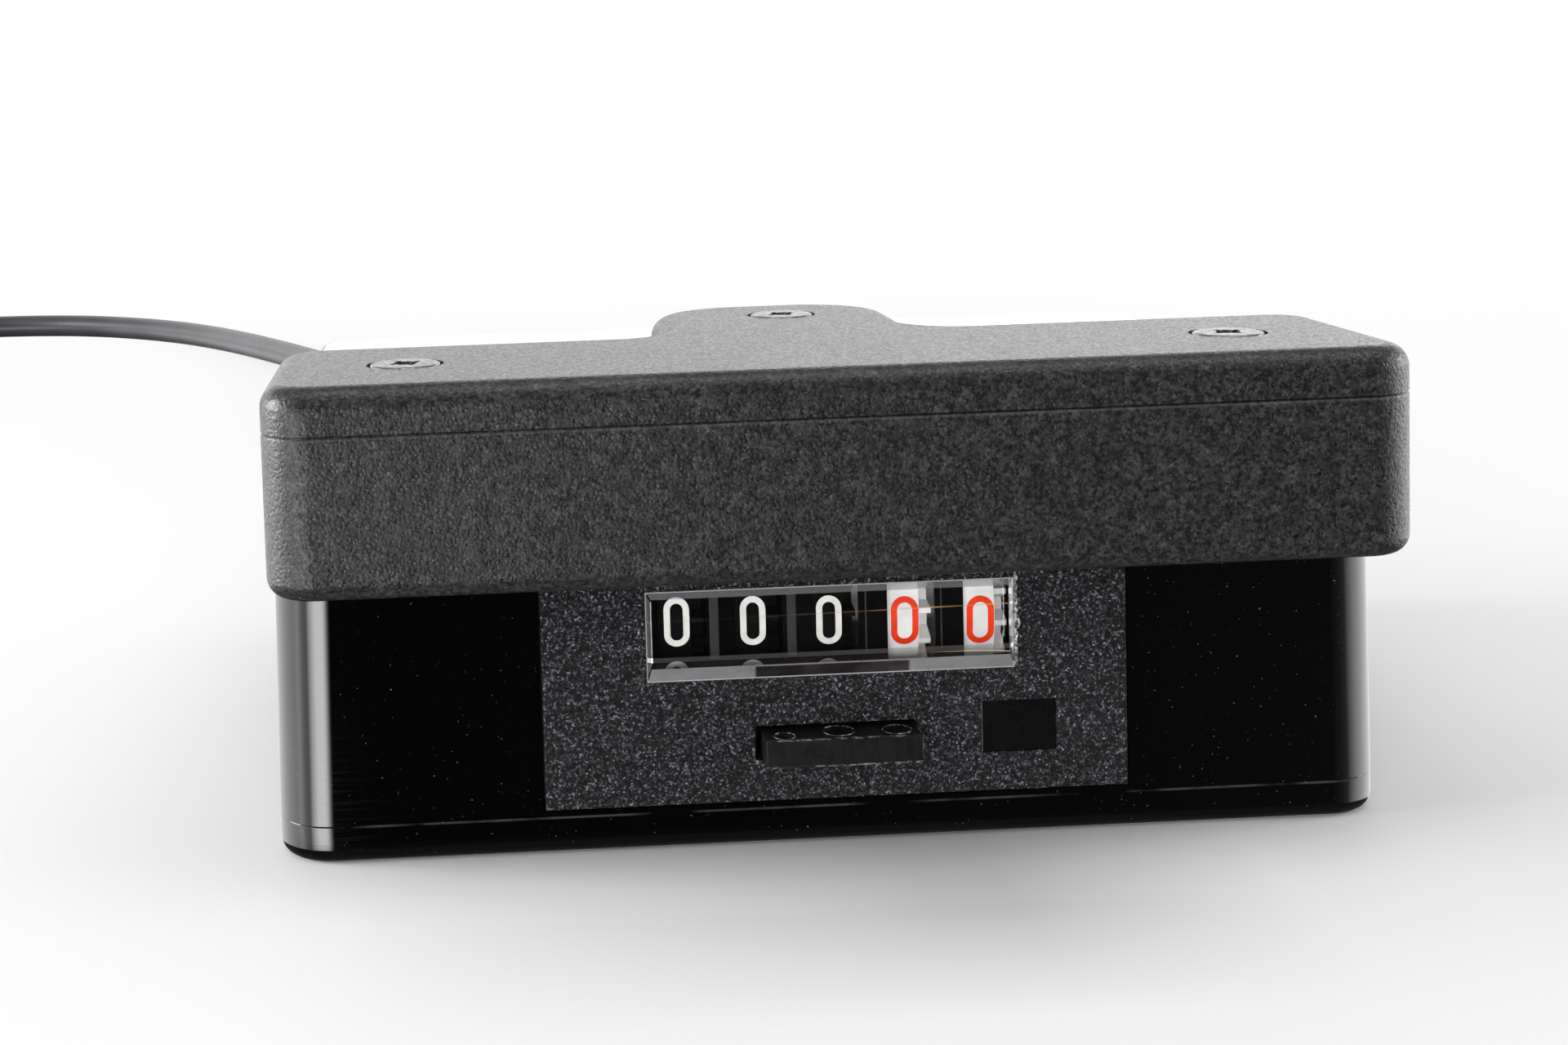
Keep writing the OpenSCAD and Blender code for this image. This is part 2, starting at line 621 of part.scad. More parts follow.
clip_rim = 1.8;
clip_arm = 16;
clip_arm_h = 8;
module mounting_clip() color("#3a3a3c") difference() {
    union() {
        span([-sleeve_w / 2 - 2, front_inner, bezel_z - sleeve_h / 2 - clip_rim], [sleeve_w / 2 + 2, front_inner + 2, bezel_z + sleeve_h / 2 + clip_rim]);
        for (side = [-1, 1]) {
            span([side * (sleeve_w / 2 + 0.75) - 0.6, front_inner, bezel_z - clip_arm_h / 2],
                [side * (sleeve_w / 2 + 0.75) + 0.6, front_inner + clip_arm, bezel_z + clip_arm_h / 2]);
            // Ribs that let the clip lock on its way up to the panel
            for (i = [0:3]) translate([side * (sleeve_w / 2 + 1.2), front_inner + 6 + 2.4 * i, bezel_z - clip_arm_h / 2])
                cylinder(r = 0.5, h = clip_arm_h);
        }
    }
    span([-sleeve_w / 2 - 0.1, front_inner - 1, bezel_z - sleeve_h / 2 - 0.1], [sleeve_w / 2 + 0.1, front_inner + clip_arm + 1, bezel_z + sleeve_h / 2 + 0.1]);
}

// Frame plates: steel side plates that carry every shaft of the counter
bar_r = 1;
bar_head_r = 1.4;
frame_front = mask_front + 1.5;
frame_back = sleeve_end - 1.4;
bar_inset = 1.8;
bars = [[frame_front + bar_inset, sleeve_roof - bar_inset], [frame_back - bar_inset, sleeve_roof - bar_inset],
    [frame_back - bar_inset, sleeve_floor + bar_inset]];
spring_y = axis_y + 1.4;
spring_x = plate_out + spring_room / 2;
lug_out = plate_out + spring_room - 0.2;
notch_y = yoke_back + button_travel + pass;
frame_profile = [[notch_y, sleeve_floor], [frame_back, sleeve_floor], [frame_back, sleeve_roof - pass],
    [frame_front, sleeve_roof - pass], [frame_front, button_top + 0.8], [notch_y, button_top + 0.8]];

module frame_plate(side) color("#9a9ca0") {
    difference() {
        union() {
            across(side > 0 ? plate_in : -plate_out) linear_extrude(frame_t) polygon(frame_profile);
            span([side > 0 ? plate_out - 0.2 : -lug_out, spring_y, button_low - 0.6],
                [side > 0 ? lug_out : 0.2 - plate_out, spring_y + 1, button_top + 0.6]);
        }
        rod_x(-sleeve_w, sleeve_w, axis_y, axis_z, shaft_d / 2 + run);
        rod_x(-sleeve_w, sleeve_w, pinion_y, pinion_z, pin_d / 2 + run);
        rod_x(-sleeve_w, sleeve_w, rocker_y, rocker_z, pin_d / 2 + run);
        for (b = bars) rod_x(-sleeve_w, sleeve_w, b[0], b[1], bar_r + run);
    }
}
module frame_left() frame_plate(-1);
module frame_right() frame_plate(1);
module frame_bars() color("#b9bbbe") for (b = bars) {
    rod_x(-plate_out - 0.6, plate_out + 0.6, b[0], b[1], bar_r);
    for (side = [-1, 1]) rod_x(side * (plate_out + 0.35) - 0.25, side * (plate_out + 0.35) + 0.25, b[0], b[1], bar_head_r);
}

shaft_r = shaft_d / 2;
module wheel_shaft() color("#c9ccd0") {
    rod_x(-plate_out - 0.5, plate_out + 0.5, axis_y, axis_z, shaft_r);
    rod_x(-plate_in, wheel_x(0) + heart_from - 0.15, axis_y, axis_z, shaft_r + 0.8);
    rod_x(wheel_x(wheel_count - 1) + hub_to + 0.15, plate_in, axis_y, axis_z, shaft_r + 0.8);
}

// A gear's outline, with straight-sided teeth and the first tooth on the local x axis
module teeth(n, tip, root, tip_w, root_w) {
    polygon([for (i = [0:n - 1]) let (a = 360 * i / n, b = asin(root_w / 2 / root), c = asin(tip_w / 2 / tip))
        each [root * [cos(a - b), sin(a - b)], tip * [cos(a - c), sin(a - c)],
            tip * [cos(a + c), sin(a + c)], root * [cos(a + b), sin(a + b)]]]);
}

// A number wheel: its rim with the figures, gear ring, carry teeth and reset heart
module number_wheel(i) color(i < 3 ? "#161618" : "#eceae4")
    translate([wheel_x(i), axis_y, axis_z]) rotate([90, 0, 90]) {
        phase = (i == wheel_count - 1 ? pawl_angle : mesh_angle) + 180 / ring_teeth;
        difference() {
            union() {
                translate([0, 0, -rim_w / 2]) linear_extrude(rim_w) difference() {
                    circle(wheel_r, $fn = 80);
                    circle(wheel_r - 1.3);
                }
                translate([0, 0, -0.6]) linear_extrude(1.2) circle(wheel_r - 0.6);
                translate([0, 0, 0.5]) linear_extrude(ring_to - 0.5) difference() {
                    rotate(phase) teeth(ring_teeth, ring_tip, ring_root, 0.5, 1.3);
                    circle(ring_root - 1.3);
                }
                translate([0, 0, 0.5]) linear_extrude(hub_to - 0.5) circle(shaft_r + 1.3);
                translate([0, 0, carry_from]) linear_extrude(-carry_from) {
                    circle(ring_root - 1.4);
                    for (a = [-9, 9]) rotate(200 + a) translate([0, -0.4]) square([carry_tip, 0.8]);
                }
                translate([0, 0, heart_from]) linear_extrude(carry_from - heart_from + eps)
                    polygon([for (a = [-180:7.5:179]) (heart_low + (heart_high - heart_low) * abs(a) / 180) * [cos(a), sin(a)]]);
            }
            translate([0, 0, -6]) cylinder(r = shaft_r + run, h = 12);
        }
    }
carry_tip = mesh_dist - pinion_tip - 0.15;

module wheel_hundreds() number_wheel(0);
module wheel_tens() number_wheel(1);
module wheel_units() number_wheel(2);
module wheel_tenths() number_wheel(3);
module wheel_hundredths() number_wheel(4);

// Carry pinions mesh with the gear ring of the wheel on their left
pinion_from = rim_w / 2 + 0.2;
pinion_to = wheel_pitch - rim_w / 2 - 0.2;
module carry_pinion(i) color("#d8c9a0") translate([wheel_x(i), pinion_y, pinion_z]) rotate([90, 0, 90])
    translate([0, 0, pinion_from]) difference() {
        linear_extrude(pinion_to - pinion_from) rotate(mesh_angle + 180) teeth(pinion_teeth, pinion_tip, pinion_root, 0.45, 1.1);
        translate([0, 0, -1]) cylinder(r = pin_r + run, h = 10);
    }
module pinion_hundreds() carry_pinion(0);
module pinion_tens() carry_pinion(1);
module pinion_units() carry_pinion(2);
module pinion_tenths() carry_pinion(3);

pin_r = pin_d / 2;
module pinion_shaft() color("#c9ccd0") {
    rod_x(-plate_out - 0.5, plate_out + 0.5, pinion_y, pinion_z, pin_r);
    for (i = [0:wheel_count - 2]) {
        rod_x(wheel_x(i) + pinion_from - 0.9, wheel_x(i) + pinion_from - 0.1, pinion_y, pinion_z, pin_r + 0.7);
        rod_x(wheel_x(i) + pinion_to + 0.1, wheel_x(i) + pinion_to + 0.9, pinion_y, pinion_z, pin_r + 0.7);
    }
}

// The reset bar: push button, yoke behind the bezel and an arm each side of the wheels
nose_h = 1.2;
module reset_bar() color("#1d1d1f") difference() {
    union() {
        hull() {
            span([button_x - button_w / 2 + 0.15, bezel_front - button_out, button_low + 0.15],
                [button_x + button_w / 2 - 0.15, yoke_front, button_top - 0.15]);
            span([button_x - button_w / 2, bezel_front - button_out + 0.15, button_low],
                [button_x + button_w / 2, yoke_front, button_top]);
        }
        span([-sleeve_w / 2 + sleeve_t + 0.5, yoke_front - eps, button_low], [sleeve_w / 2 - sleeve_t - 0.5, yoke_back, button_top]);
        for (side = [-1, 1]) {
            span([side * (arm_in + arm_out) / 2 - (arm_out - arm_in) / 2, yoke_back - 0.1, button_low],
                [side * (arm_in + arm_out) / 2 + (arm_out - arm_in) / 2, arm_end - 2.5, button_top]);
            span([side * (arm_in + arm_out) / 2 - (arm_out - arm_in) / 2, yoke_back - 0.1, button_low],
                [side * (arm_in + arm_out) / 2 + (arm_out - arm_in) / 2, arm_end, button_low + nose_h]);
        }
    }
    // Ejector marks on the button's upper face
    for (x = [-5.2, -0.2, 5]) translate([button_x + x, bezel_front - button_out + 1.6, button_top - 0.15]) cylinder(r = 1.1, h = 1);
}

spring_turns = 7;
spring_wire = 0.2;
module helix_y(x, y0, y1, z, r)
    tube([for (i = [0:spring_turns * 12]) let (a = 30 * i, f = i / (spring_turns * 12))
        [x + r * cos(a), y0 + (y1 - y0) * f, z + r * sin(a)]], spring_wire, 5, [1, 0, 0]);
module reset_springs() color("#c4c7cb") for (side = [-1, 1])
    helix_y(side * spring_x, yoke_back + spring_wire + 0.05, spring_y - spring_wire - 0.05, button_z, 1.1);

module reset_shaft() color("#c9ccd0") rod_x(-plate_out - 0.5, plate_out + 0.5, rocker_y, rocker_z, pin_r);

// The reset rocker: one hammer for each wheel, turned by the two arms of the bar
rocker_turn = 25;
hammer_face = axis_y + heart_high + 0.2 - rocker_y;
hammer_mid = axis_z - rocker_z;
ear_low = button_low - 0.2;
module reset_rocker() color("#3d3f43") difference() {
    union() {
        rod_x(-plate_in + 0.2, plate_in - 0.2, rocker_y, rocker_z, rocker_r);
        for (i = [0:wheel_count - 1]) across(wheel_x(i) + heart_from - 0.1) linear_extrude(hammer_t) {
            translate([rocker_y, rocker_z]) rotate(-rocker_turn) {
                circle(rocker_r);
                polygon([[-1.8, 0.2], [hammer_face + 1.6, hammer_mid - 1.2], [hammer_face, hammer_mid - 0.8],
                    [hammer_face, hammer_mid + 0.4], [-0.3, 1.9]]);
            }
        }
        for (side = [-1, 1]) across(side * (arm_in + arm_out) / 2 - (arm_out - arm_in) / 2) linear_extrude(arm_out - arm_in)
            polygon([[ear_front, rocker_z + 0.6], [ear_front, ear_low], [rocker_y + 1.4, ear_low], [rocker_y + 1.8, rocker_z + 0.6]]);
    }
    rod_x(-sleeve_w, sleeve_w, rocker_y, rocker_z, pin_r + run);
}

module magnet_yoke() color("#8f9296") difference() {
    union() {
        span([magnet_x - 5.5, magnet_y - coil_r - 0.6, magnet_foot], [magnet_x + 5.5, leg_front + 1.2, magnet_foot + yoke_t]);
        span([magnet_x - 5.5, leg_front, magnet_foot], [magnet_x + 5.5, leg_front + 1.2, hinge_z - 4]);
        span([magnet_x - 6.7, leg_front, hinge_z - 8], [magnet_x + 6.7, leg_front + 1.2, hinge_z - 1.8]);
        for (side = [-1, 1]) span([magnet_x + side * 6.15 - 0.55, hinge_y - 1.5, hinge_z - 3.6], [magnet_x + side * 6.15 + 0.55, hinge_y + 1.5, hinge_z + 1.5]);
        translate([magnet_x, magnet_y, magnet_foot + yoke_t - eps]) cylinder(r = core_r, h = core_top - magnet_foot - yoke_t + eps);
        rod_x(magnet_x - 6.6, magnet_x + 6.6, hinge_y, hinge_z, hinge_r);
        span([magnet_x - 1.2, leg_front + 1, spring_foot - 1], [magnet_x + 1.2, lug_reach, spring_foot]);
    }
}

bobbin_low = magnet_foot + yoke_t;
bobbin_high = core_top - 0.6;
module coil_bobbin() color("#efe9d8") difference() {
    translate([magnet_x, magnet_y, bobbin_low]) {
        cylinder(r = coil_r + 0.5, h = 1);
        cylinder(r = core_r + 0.7, h = bobbin_high - bobbin_low);
        translate([0, 0, bobbin_high - bobbin_low - 1]) cylinder(r = coil_r + 0.5, h = 1);
    }
    translate([magnet_x, magnet_y, bobbin_low - 1]) cylinder(r = core_r + run, h = 30);
}
module coil_winding() color("#b5622b") translate([magnet_x, magnet_y, bobbin_low + 1]) difference() {
    cylinder(r = coil_r, h = bobbin_high - bobbin_low - 2);
    translate([0, 0, -1]) cylinder(r = core_r + 0.7, h = 30);
}

// The armature: hinged plate over the magnet's core, with the pawl that drives the last wheel
spring_foot = magnet_foot + 5.5;
pawl_x = wheel_x(wheel_count - 1) + rim_w / 2 + 0.6;
pawl_r = ring_tip + 0.15;
pawl_z = pinion_z + 2.6;
pawl_tip = [axis_y + pawl_r * cos(pawl_angle), axis_z + pawl_r * sin(pawl_angle)];
module armature() color("#a4a7ab") difference() {
    union() {
        span([magnet_x - 5.4, magnet_y - coil_r - 0.5, armature_z], [magnet_x + 5.4, hinge_y, armature_z + armature_t]);
        span([magnet_x - 1.2, hinge_y, armature_z], [magnet_x + 1.2, lug_reach, armature_z + armature_t]);
        rod_x(magnet_x - 5.4, magnet_x + 5.4, hinge_y, hinge_z, 1.5);
        span([magnet_x + 5.3, magnet_y - coil_r - 0.5, armature_z], [pawl_x + 0.55, magnet_y - coil_r + 2.5, armature_z + armature_t]);
        span([pawl_x - 0.55, magnet_y - coil_r - 0.5, armature_z], [pawl_x + 0.55, magnet_y - coil_r + 2.5, pawl_z + 1.3]);
        across(pawl_x - 0.55) linear_extrude(1.1) polygon([[magnet_y - coil_r + 2.5, pawl_z], [magnet_y - coil_r + 2.5, pawl_z + 1.3],
            [pawl_tip[0] - 0.1, pawl_z + 1.3], pawl_tip, [pawl_tip[0] + 1.1, pawl_z]]);
    }
    rod_x(-sleeve_w, sleeve_w, hinge_y, hinge_z, hinge_r + run);
}

module armature_spring() color("#c4c7cb") {
    y = leg_front + 3;
    low = spring_foot + spring_wire + 0.05;
    high = armature_z - spring_wire - 0.05;
    tube([for (i = [0:8 * 12]) let (a = 30 * i, f = i / 96)
        [magnet_x + 0.9 * cos(a), y + 0.9 * sin(a), low + (high - low) * f]], spring_wire, 5, [1, 0, 0]);
}

module terminal_plate() color("#1f1f21") difference() {
    span([-sleeve_w / 2, sleeve_end, bezel_z - sleeve_h / 2], [sleeve_w / 2, sleeve_end + 1.5, bezel_z + sleeve_h / 2]);
    for (x = [-6, 6]) span([x - 1.5, sleeve_end - 1, terminal_z - 0.5], [x + 1.5, sleeve_end + 3, terminal_z + 0.5]);
}
module terminal_pins() color("#c8b06a") for (x = [-6, 6]) {
    span([x - 1.4, sleeve_end - 0.8, terminal_z - 0.4], [x + 1.4, sleeve_end + 5, terminal_z + 0.4]);
    span([x - 2.2, sleeve_end - 0.8, terminal_z - 0.4], [x + 2.2, sleeve_end, terminal_z + 0.4]);
}
module counter_lead() color("#c33a2c") for (x = [-6, 6])
    tube([[x, sleeve_end + 4, terminal_z + 1], [x, sleeve_end + 5.4, terminal_z + 1.4], [x * 0.9, board_y + 4.5, terminal_z],
        [x * 0.6, board_y + 6, board_z + board_t + 9], [x * 0.4, board_y + 6, board_z + board_t + 8]], 0.6, 6, [1, 0, 0]);

module main_board() color("#1e5a36") difference() {
    span([-board_w / 2, board_y, board_z], [board_w / 2, board_y + board_d, board_z + board_t]);
    for (p = pillars) translate([p[0], p[1], board_z - 1]) cylinder(r = pilot_r + 0.2, h = 5);
}
module board_screws() color("#c4c7cb") for (p = pillars) translate([p[0], p[1], board_z + board_t]) {
    cylinder(r = 2.2, h = 1.4);
    translate([0, 0, -board_t - 3]) cylinder(r = pilot_r, h = board_t + 3);
}

// A dual-in-line chip with its two rows of legs
module dip_chip(x, y, pins) translate([x, y, board_z + board_t]) {
    l = pins * 1.27 + 1;
    translate([-l / 2, -3.2, 0.6]) difference() {
        cube([l, 6.4, 3.3]);
        translate([0, 3.2, 2.9]) cylinder(r = 0.9, h = 1);
    }
    for (i = [0:pins / 2 - 1], side = [-1, 1])
        translate([(i - (pins / 2 - 1) / 2) * 2.54 - 0.3, side * 3.5 - 0.3, 0]) cube([0.6, 0.6, 2.2]);
}
top_z = board_z + board_t;
module chips() color("#222225") {
    dip_chip(2, board_y + 13.8, 14);
    dip_chip(25, board_y + 15.5, 8);
}
module capacitors() color("#20386a") for (x = [12, 27]) translate([x, board_y + 6, top_z]) {
    cylinder(r = 3.6, h = 1);
    cylinder(r = 4, h = 10.5);
    translate([0, 0, 10.5]) cylinder(r1 = 4, r2 = 3.5, h = 0.5);
}
module regulator() color("#3b3c40") translate([-14, board_y + 2.5, top_z]) {
    translate([-5, 0, 3]) cube([10, 4.4, 9]);
    translate([-5, 3.1, 3]) cube([10, 1.3, 15]);
    for (i = [-1, 0, 1]) translate([i * 2.54 - 0.4, 1.5, 0]) cube([0.8, 0.6, 4]);
}
module board_socket() color("#e9e6dc") translate([0, board_y + 6, top_z]) difference() {
    translate([-4, -2.8, 0]) cube([8, 5.6, 8]);
    translate([-3, -1.8, 6.5]) cube([6, 3.6, 3]);
}
block_y = board_y + 7.6;
block_w = 20.4;
module terminal_block() color("#2f6fb0") difference() {
    translate([lead_x + 4 - block_w / 2, block_y, top_z]) cube([block_w, 7.6, 9.5]);
    for (i = [0:3]) translate([lead_x + 4 - block_w / 2 + 2.55 + 5.1 * i, block_y + 3.8, top_z]) {
        translate([0, 0, 7]) cylinder(r = 1.7, h = 4);
        translate([-1.4, 1, 0.8]) cube([2.8, 4, 3.4]);
    }
}
module inner_cores() color("#c33a2c") for (i = [0:2]) {
    x = lead_x + 4 - block_w / 2 + 2.55 + 5.1 * i;
    e = case_back - wall - 2.2;
    tube([[lead_x + (i - 1) * 1.8, e - 0.1, lead_z + 1], [lead_x + (i - 1) * 2, e - 1.4, lead_z + 1.2], [x, block_y + 9.3, lead_z + 1.6],
        [x, block_y + 8, lead_z + 1.8], [x, block_y + 6, lead_z + 1.8]], 0.7, 6, [1, 0, 0]);
}

// Strain relief in the back wall: two flanges, a neck and a ribbed, tapering boot
back_out = case_back - (lead_z - base_t) * tan(draft);
boot_r = 4.9;
boot_end_r = 3.9;
module cable_relief() color("#17171a") difference() {
    union() {
        rod_y(lead_x, back_out - wall - 2.1, back_out - wall - 0.15, lead_z, relief_r);
        rod_y(lead_x, back_out - wall - 0.2, back_out + 0.2, lead_z, relief_neck_r);
        rod_y(lead_x, back_out + 0.15, back_out + 1.8, lead_z, relief_r);
        translate([lead_x, back_out + 1.7, lead_z]) rotate([-90, 0, 0]) cylinder(r1 = boot_r, r2 = boot_end_r, h = relief_end - back_out - 1.7);
    }
    for (i = [0:4]) translate([lead_x, back_out + 4.6 + 3.1 * i, lead_z]) rotate([-90, 0, 0]) difference() {
        cylinder(r = 8, h = 1.3);
        translate([0, 0, -1]) cylinder(r = boot_end_r - 0.3, h = 4);
    }
}

// The lead's route from the strain relief across the surface to its coil
cable_route = [[-30, 64.5, 11], [-30, 71, 11], [-30, 80, 10.5], [-30.5, 92, 8], [-31, 105, 5.5], [-32, 118, 3.5],
    [-33, 131, 3], [-35, 146, 3], [-36.5, 161, 3], [-38.5, 176, 3], [-41, 191, 3], [-44, 206, 3], [-47.5, 221, 3],
    [-51.5, 236, 3], [-56, 251, 3], [-61, 266, 3], [-67, 281, 3], [-74, 296, 3], [-80.5, 309, 3], [-90.5, 327.5, 3],
    [-101, 344, 3], [-113, 359, 3], [-126, 371, 3], [-139, 379.5, 3], [-151, 384, 3], [-163, 386, 3],
    [-176, 386.5, 3], [-188, 386.5, 3.4], [-194, 386.5, 3.8], [-200, 386.5, 3.8]];
lead_r = lead_d / 2;
module cable() color("#2b2c2f") tube(cable_route, lead_r, 8);

// The coil: one tube that spirals in, climbs a layer and spirals out again
coil_turns = 5.25;
coil_pitch = 6.5;
coil_inner = 23.6;
coil_low = 3.8;
coil_x = -206;
coil_steps = 24;
coil_outer = coil_inner + coil_pitch * coil_turns / 2;
coil_cy = 386.5 - coil_outer;
function smooth(f) = let (c = max(0, min(1, f))) c * c * (3 - 2 * c);
function coil_radius(t) = coil_inner + coil_pitch * sqrt(pow(t - coil_turns / 2, 2) + 0.003);
function coil_point(t) = let (a = 90 + 360 * t, r = coil_radius(t))
    [coil_x + r * cos(a), coil_cy + r * sin(a), coil_low + coil_pitch * smooth((t - coil_turns / 2 + 0.25) / 0.5)];
coil_first = coil_point(0);
coil_last = coil_point(coil_turns);
coil_path = concat([[-200, 386.5, coil_low]], [for (i = [0:coil_turns * coil_steps]) coil_point(i / coil_steps)],
    [coil_last + [0, -6, 0]]);
gaps = [for (i = [0:len(coil_path) - 1], j = [i + 1:len(coil_path) - 1]) if (j - i > coil_steps * 0.7) norm(coil_path[i] - coil_path[j])];
echo(least_gap_in_coil = min(gaps) - lead_d);
module cable_coil() color("#2b2c2f") tube(coil_path, lead_r, 6);

tail_start = coil_last + [0, -6, 0];
tail_route = [tail_start, tail_start + [0, -6, 0], tail_start + [0, -14, -1.6], tail_start + [0, -22, -3.6],
    tail_start + [0, -30, -5.6], tail_start + [0, -38, -6.6], tail_start + [0, -46, 3.5 - tail_start[2]], tail_start + [0, -52, 3.5 - tail_start[2]]];
tail_end = tail_start + [0, -52, 3.5 - tail_start[2]];
module cable_tail() color("#2b2c2f") tube(tail_route, lead_r, 8);

// A strap round the coil, across its turns
tie_angle = 135;
tie_t = 0.6;
tie_w = 5;
tie_r0 = coil_radius(2.125) - lead_r - 0.35;
tie_r1 = coil_radius(0.125) + lead_r + 0.35;
tie_top = coil_low + coil_pitch + lead_r + 0.35;
module cable_tie() color("#141416") translate([coil_x, coil_cy, 0]) rotate(tie_angle) {
    translate([0, tie_w / 2, 0]) rotate([90, 0, 0]) linear_extrude(tie_w) difference() {
        translate([(tie_r0 + tie_r1) / 2, (tie_top + tie_t) / 2]) round_rect(tie_r1 - tie_r0 + 2 * tie_t, tie_top + tie_t, 2);
        translate([(tie_r0 + tie_r1) / 2, (tie_top + tie_t) / 2]) round_rect(tie_r1 - tie_r0, tie_top - tie_t, 1.4);
    }
    span([tie_r1 - 6, -tie_w / 2 - 0.6, tie_top + tie_t - 0.1], [tie_r1 - 0.6, tie_w / 2 + 0.6, tie_top + tie_t + 1.6]);
}

sleeve_len = 24;
module lead_sleeve() color("#101012") rod_y(tail_end[0], tail_end[1] - sleeve_len, tail_end[1], tail_end[2], 3.5);

// Three cores with tinned ends, fanned out on the surface
wire_core_r = 0.9;
module core(bend) {
    s = [tail_end[0] + bend * 1.9, tail_end[1] - sleeve_len, tail_end[2] - 0.6];
    tube([s, s + [0, -3, 0], s + [bend * 1.2, -9, -0.9], s + [bend * 3.4, -16, -1.7], s + [bend * 5.4, -23, -2],
        s + [bend * 6.6, -29, -2], s + [bend * 7, -34, -2]], wire_core_r, 6);
    translate(s + [bend * 7, -34, -2]) rotate([90, 0, 0]) cylinder(r = 0.6, h = 6);
}
module core_red() color("#b3261e") core(-1);
module core_black() color("#151517") core(0);
module core_white() color("#e4e2dc") core(1);

case_shell();
base_plate();
base_screws();
hood_body();
hood_lid();
lid_screws();
lamp_diffuser();
lamp_board();
lamp_leds();
lamp_lead();
counter_bezel();
counter_lens();
lock_blank();
digit_mask();
counter_sleeve();
mounting_clip();
frame_left();
frame_right();
frame_bars();
wheel_shaft();
wheel_hundreds();
wheel_tens();
wheel_units();
wheel_tenths();
wheel_hundredths();
pinion_shaft();
pinion_hundreds();
pinion_tens();
pinion_units();
pinion_tenths();
reset_bar();
reset_springs();
reset_shaft();
reset_rocker();
magnet_yoke();
coil_bobbin();
coil_winding();
armature();
armature_spring();
terminal_plate();
terminal_pins();
counter_lead();
main_board();
board_screws();
chips();
capacitors();
regulator();
board_socket();
terminal_block();
inner_cores();
cable_relief();
cable();
cable_coil();
cable_tail();
cable_tie();
lead_sleeve();
core_red();
core_black();
core_white();
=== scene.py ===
"""A rally trip meter: glossy case, pebbled hood, five-wheel counter and its lead."""
import math

import bmesh
import bpy
from mathutils import Matrix, Vector


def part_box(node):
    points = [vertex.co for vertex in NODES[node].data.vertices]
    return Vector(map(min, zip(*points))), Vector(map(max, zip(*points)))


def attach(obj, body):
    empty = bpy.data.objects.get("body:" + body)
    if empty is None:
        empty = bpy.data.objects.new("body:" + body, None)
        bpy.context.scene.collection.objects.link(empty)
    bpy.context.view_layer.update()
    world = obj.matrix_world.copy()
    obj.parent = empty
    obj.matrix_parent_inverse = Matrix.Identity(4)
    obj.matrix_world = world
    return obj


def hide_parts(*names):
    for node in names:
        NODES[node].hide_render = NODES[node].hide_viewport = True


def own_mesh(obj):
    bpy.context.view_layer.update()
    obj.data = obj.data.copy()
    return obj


bl_info = {
    "name": "Rally trip meter",
    "version": (1, 0, 0),
    "blender": (4, 5, 0),
    "location": "View3D > Sidebar > Trip meter",
    "description": "Dresses the rally trip meter around its frame",
    "category": "Object",
}

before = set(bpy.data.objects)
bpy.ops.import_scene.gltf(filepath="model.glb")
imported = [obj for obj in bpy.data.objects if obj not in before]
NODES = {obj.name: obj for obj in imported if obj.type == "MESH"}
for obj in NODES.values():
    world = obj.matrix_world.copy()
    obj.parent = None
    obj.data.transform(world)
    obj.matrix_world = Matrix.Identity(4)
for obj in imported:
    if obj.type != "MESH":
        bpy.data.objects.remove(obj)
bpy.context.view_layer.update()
MM = 0.001

# Sizes in mm that several pieces share: the case's wall, and the gap round what passes through it
WALL, PASS_GAP = 2.4, 0.15
# The lamp lead's hole through case and hood, and the depth of its channel under the lid
LAMP_X, LAMP_BACK, LAMP_RADIUS, CHANNEL = 20, 8.5, 2.0, 1.2
# The main lead's middle where it leaves the case, and its end sleeve
LEAD_X, LEAD_Z, SLEEVE_LENGTH = -30, 11, 24


# Places, in millimetres in the frame


def node_box(*names):
    """Lowest and highest corner of one or more nodes, in mm"""
    boxes = [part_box(name) for name in names]
    low = [min(b[0][k] for b in boxes) / MM for k in range(3)]
    high = [max(b[1][k] for b in boxes) / MM for k in range(3)]
    return Vector(low), Vector(high)


# Selecting and shaping


def deselect():
    if bpy.context.object and bpy.context.object.mode != "OBJECT":
        bpy.ops.object.mode_set(mode="OBJECT")
    bpy.ops.object.select_all(action="DESELECT")


def pick(*objects):
    deselect()
    for o in objects:
        o.select_set(True)
    bpy.context.view_layer.objects.active = objects[0]
    return objects[0]


def settle(piece):
    """Puts a piece's place into its mesh"""
    pick(piece)
    bpy.ops.object.transform_apply(location=True, rotation=True, scale=True)
    return piece


def block(name, low, high):
    """A block between two corners"""
    deselect()
    middle = [(a + b) / 2 * MM for a, b in zip(low, high)]
    size = [(b - a) * MM for a, b in zip(low, high)]
    bpy.ops.mesh.primitive_cube_add(size=1, location=middle, scale=size)
    piece = bpy.context.object
    piece.name = piece.data.name = name
    return settle(piece)


def slab(name, opening, front, back, grow=0.0):
    """A block that fills an opening of left, right, bottom and top, between two depths"""
    left, right, bottom, top = opening
    return block(name, (left - grow, front, bottom - grow), (right + grow, back, top + grow))


def rod(name, start, radius, length, axis="z", sides=48, end_radius=None):
    """A rod or cone that starts at a point and runs along an axis"""
    deselect()
    turn = {"x": (0, math.pi / 2, 0), "y": (-math.pi / 2, 0, 0), "z": (0, 0, 0)}[axis]
    along = Vector({"x": (1, 0, 0), "y": (0, 1, 0), "z": (0, 0, 1)}[axis])
    middle = (Vector(start) + along * length / 2) * MM
    top = radius if end_radius is None else end_radius
    bpy.ops.mesh.primitive_cone_add(vertices=sides, radius1=radius * MM, radius2=top * MM,
                                    depth=length * MM, location=middle, rotation=turn)
    piece = bpy.context.object
    piece.name = piece.data.name = name
    return settle(piece)


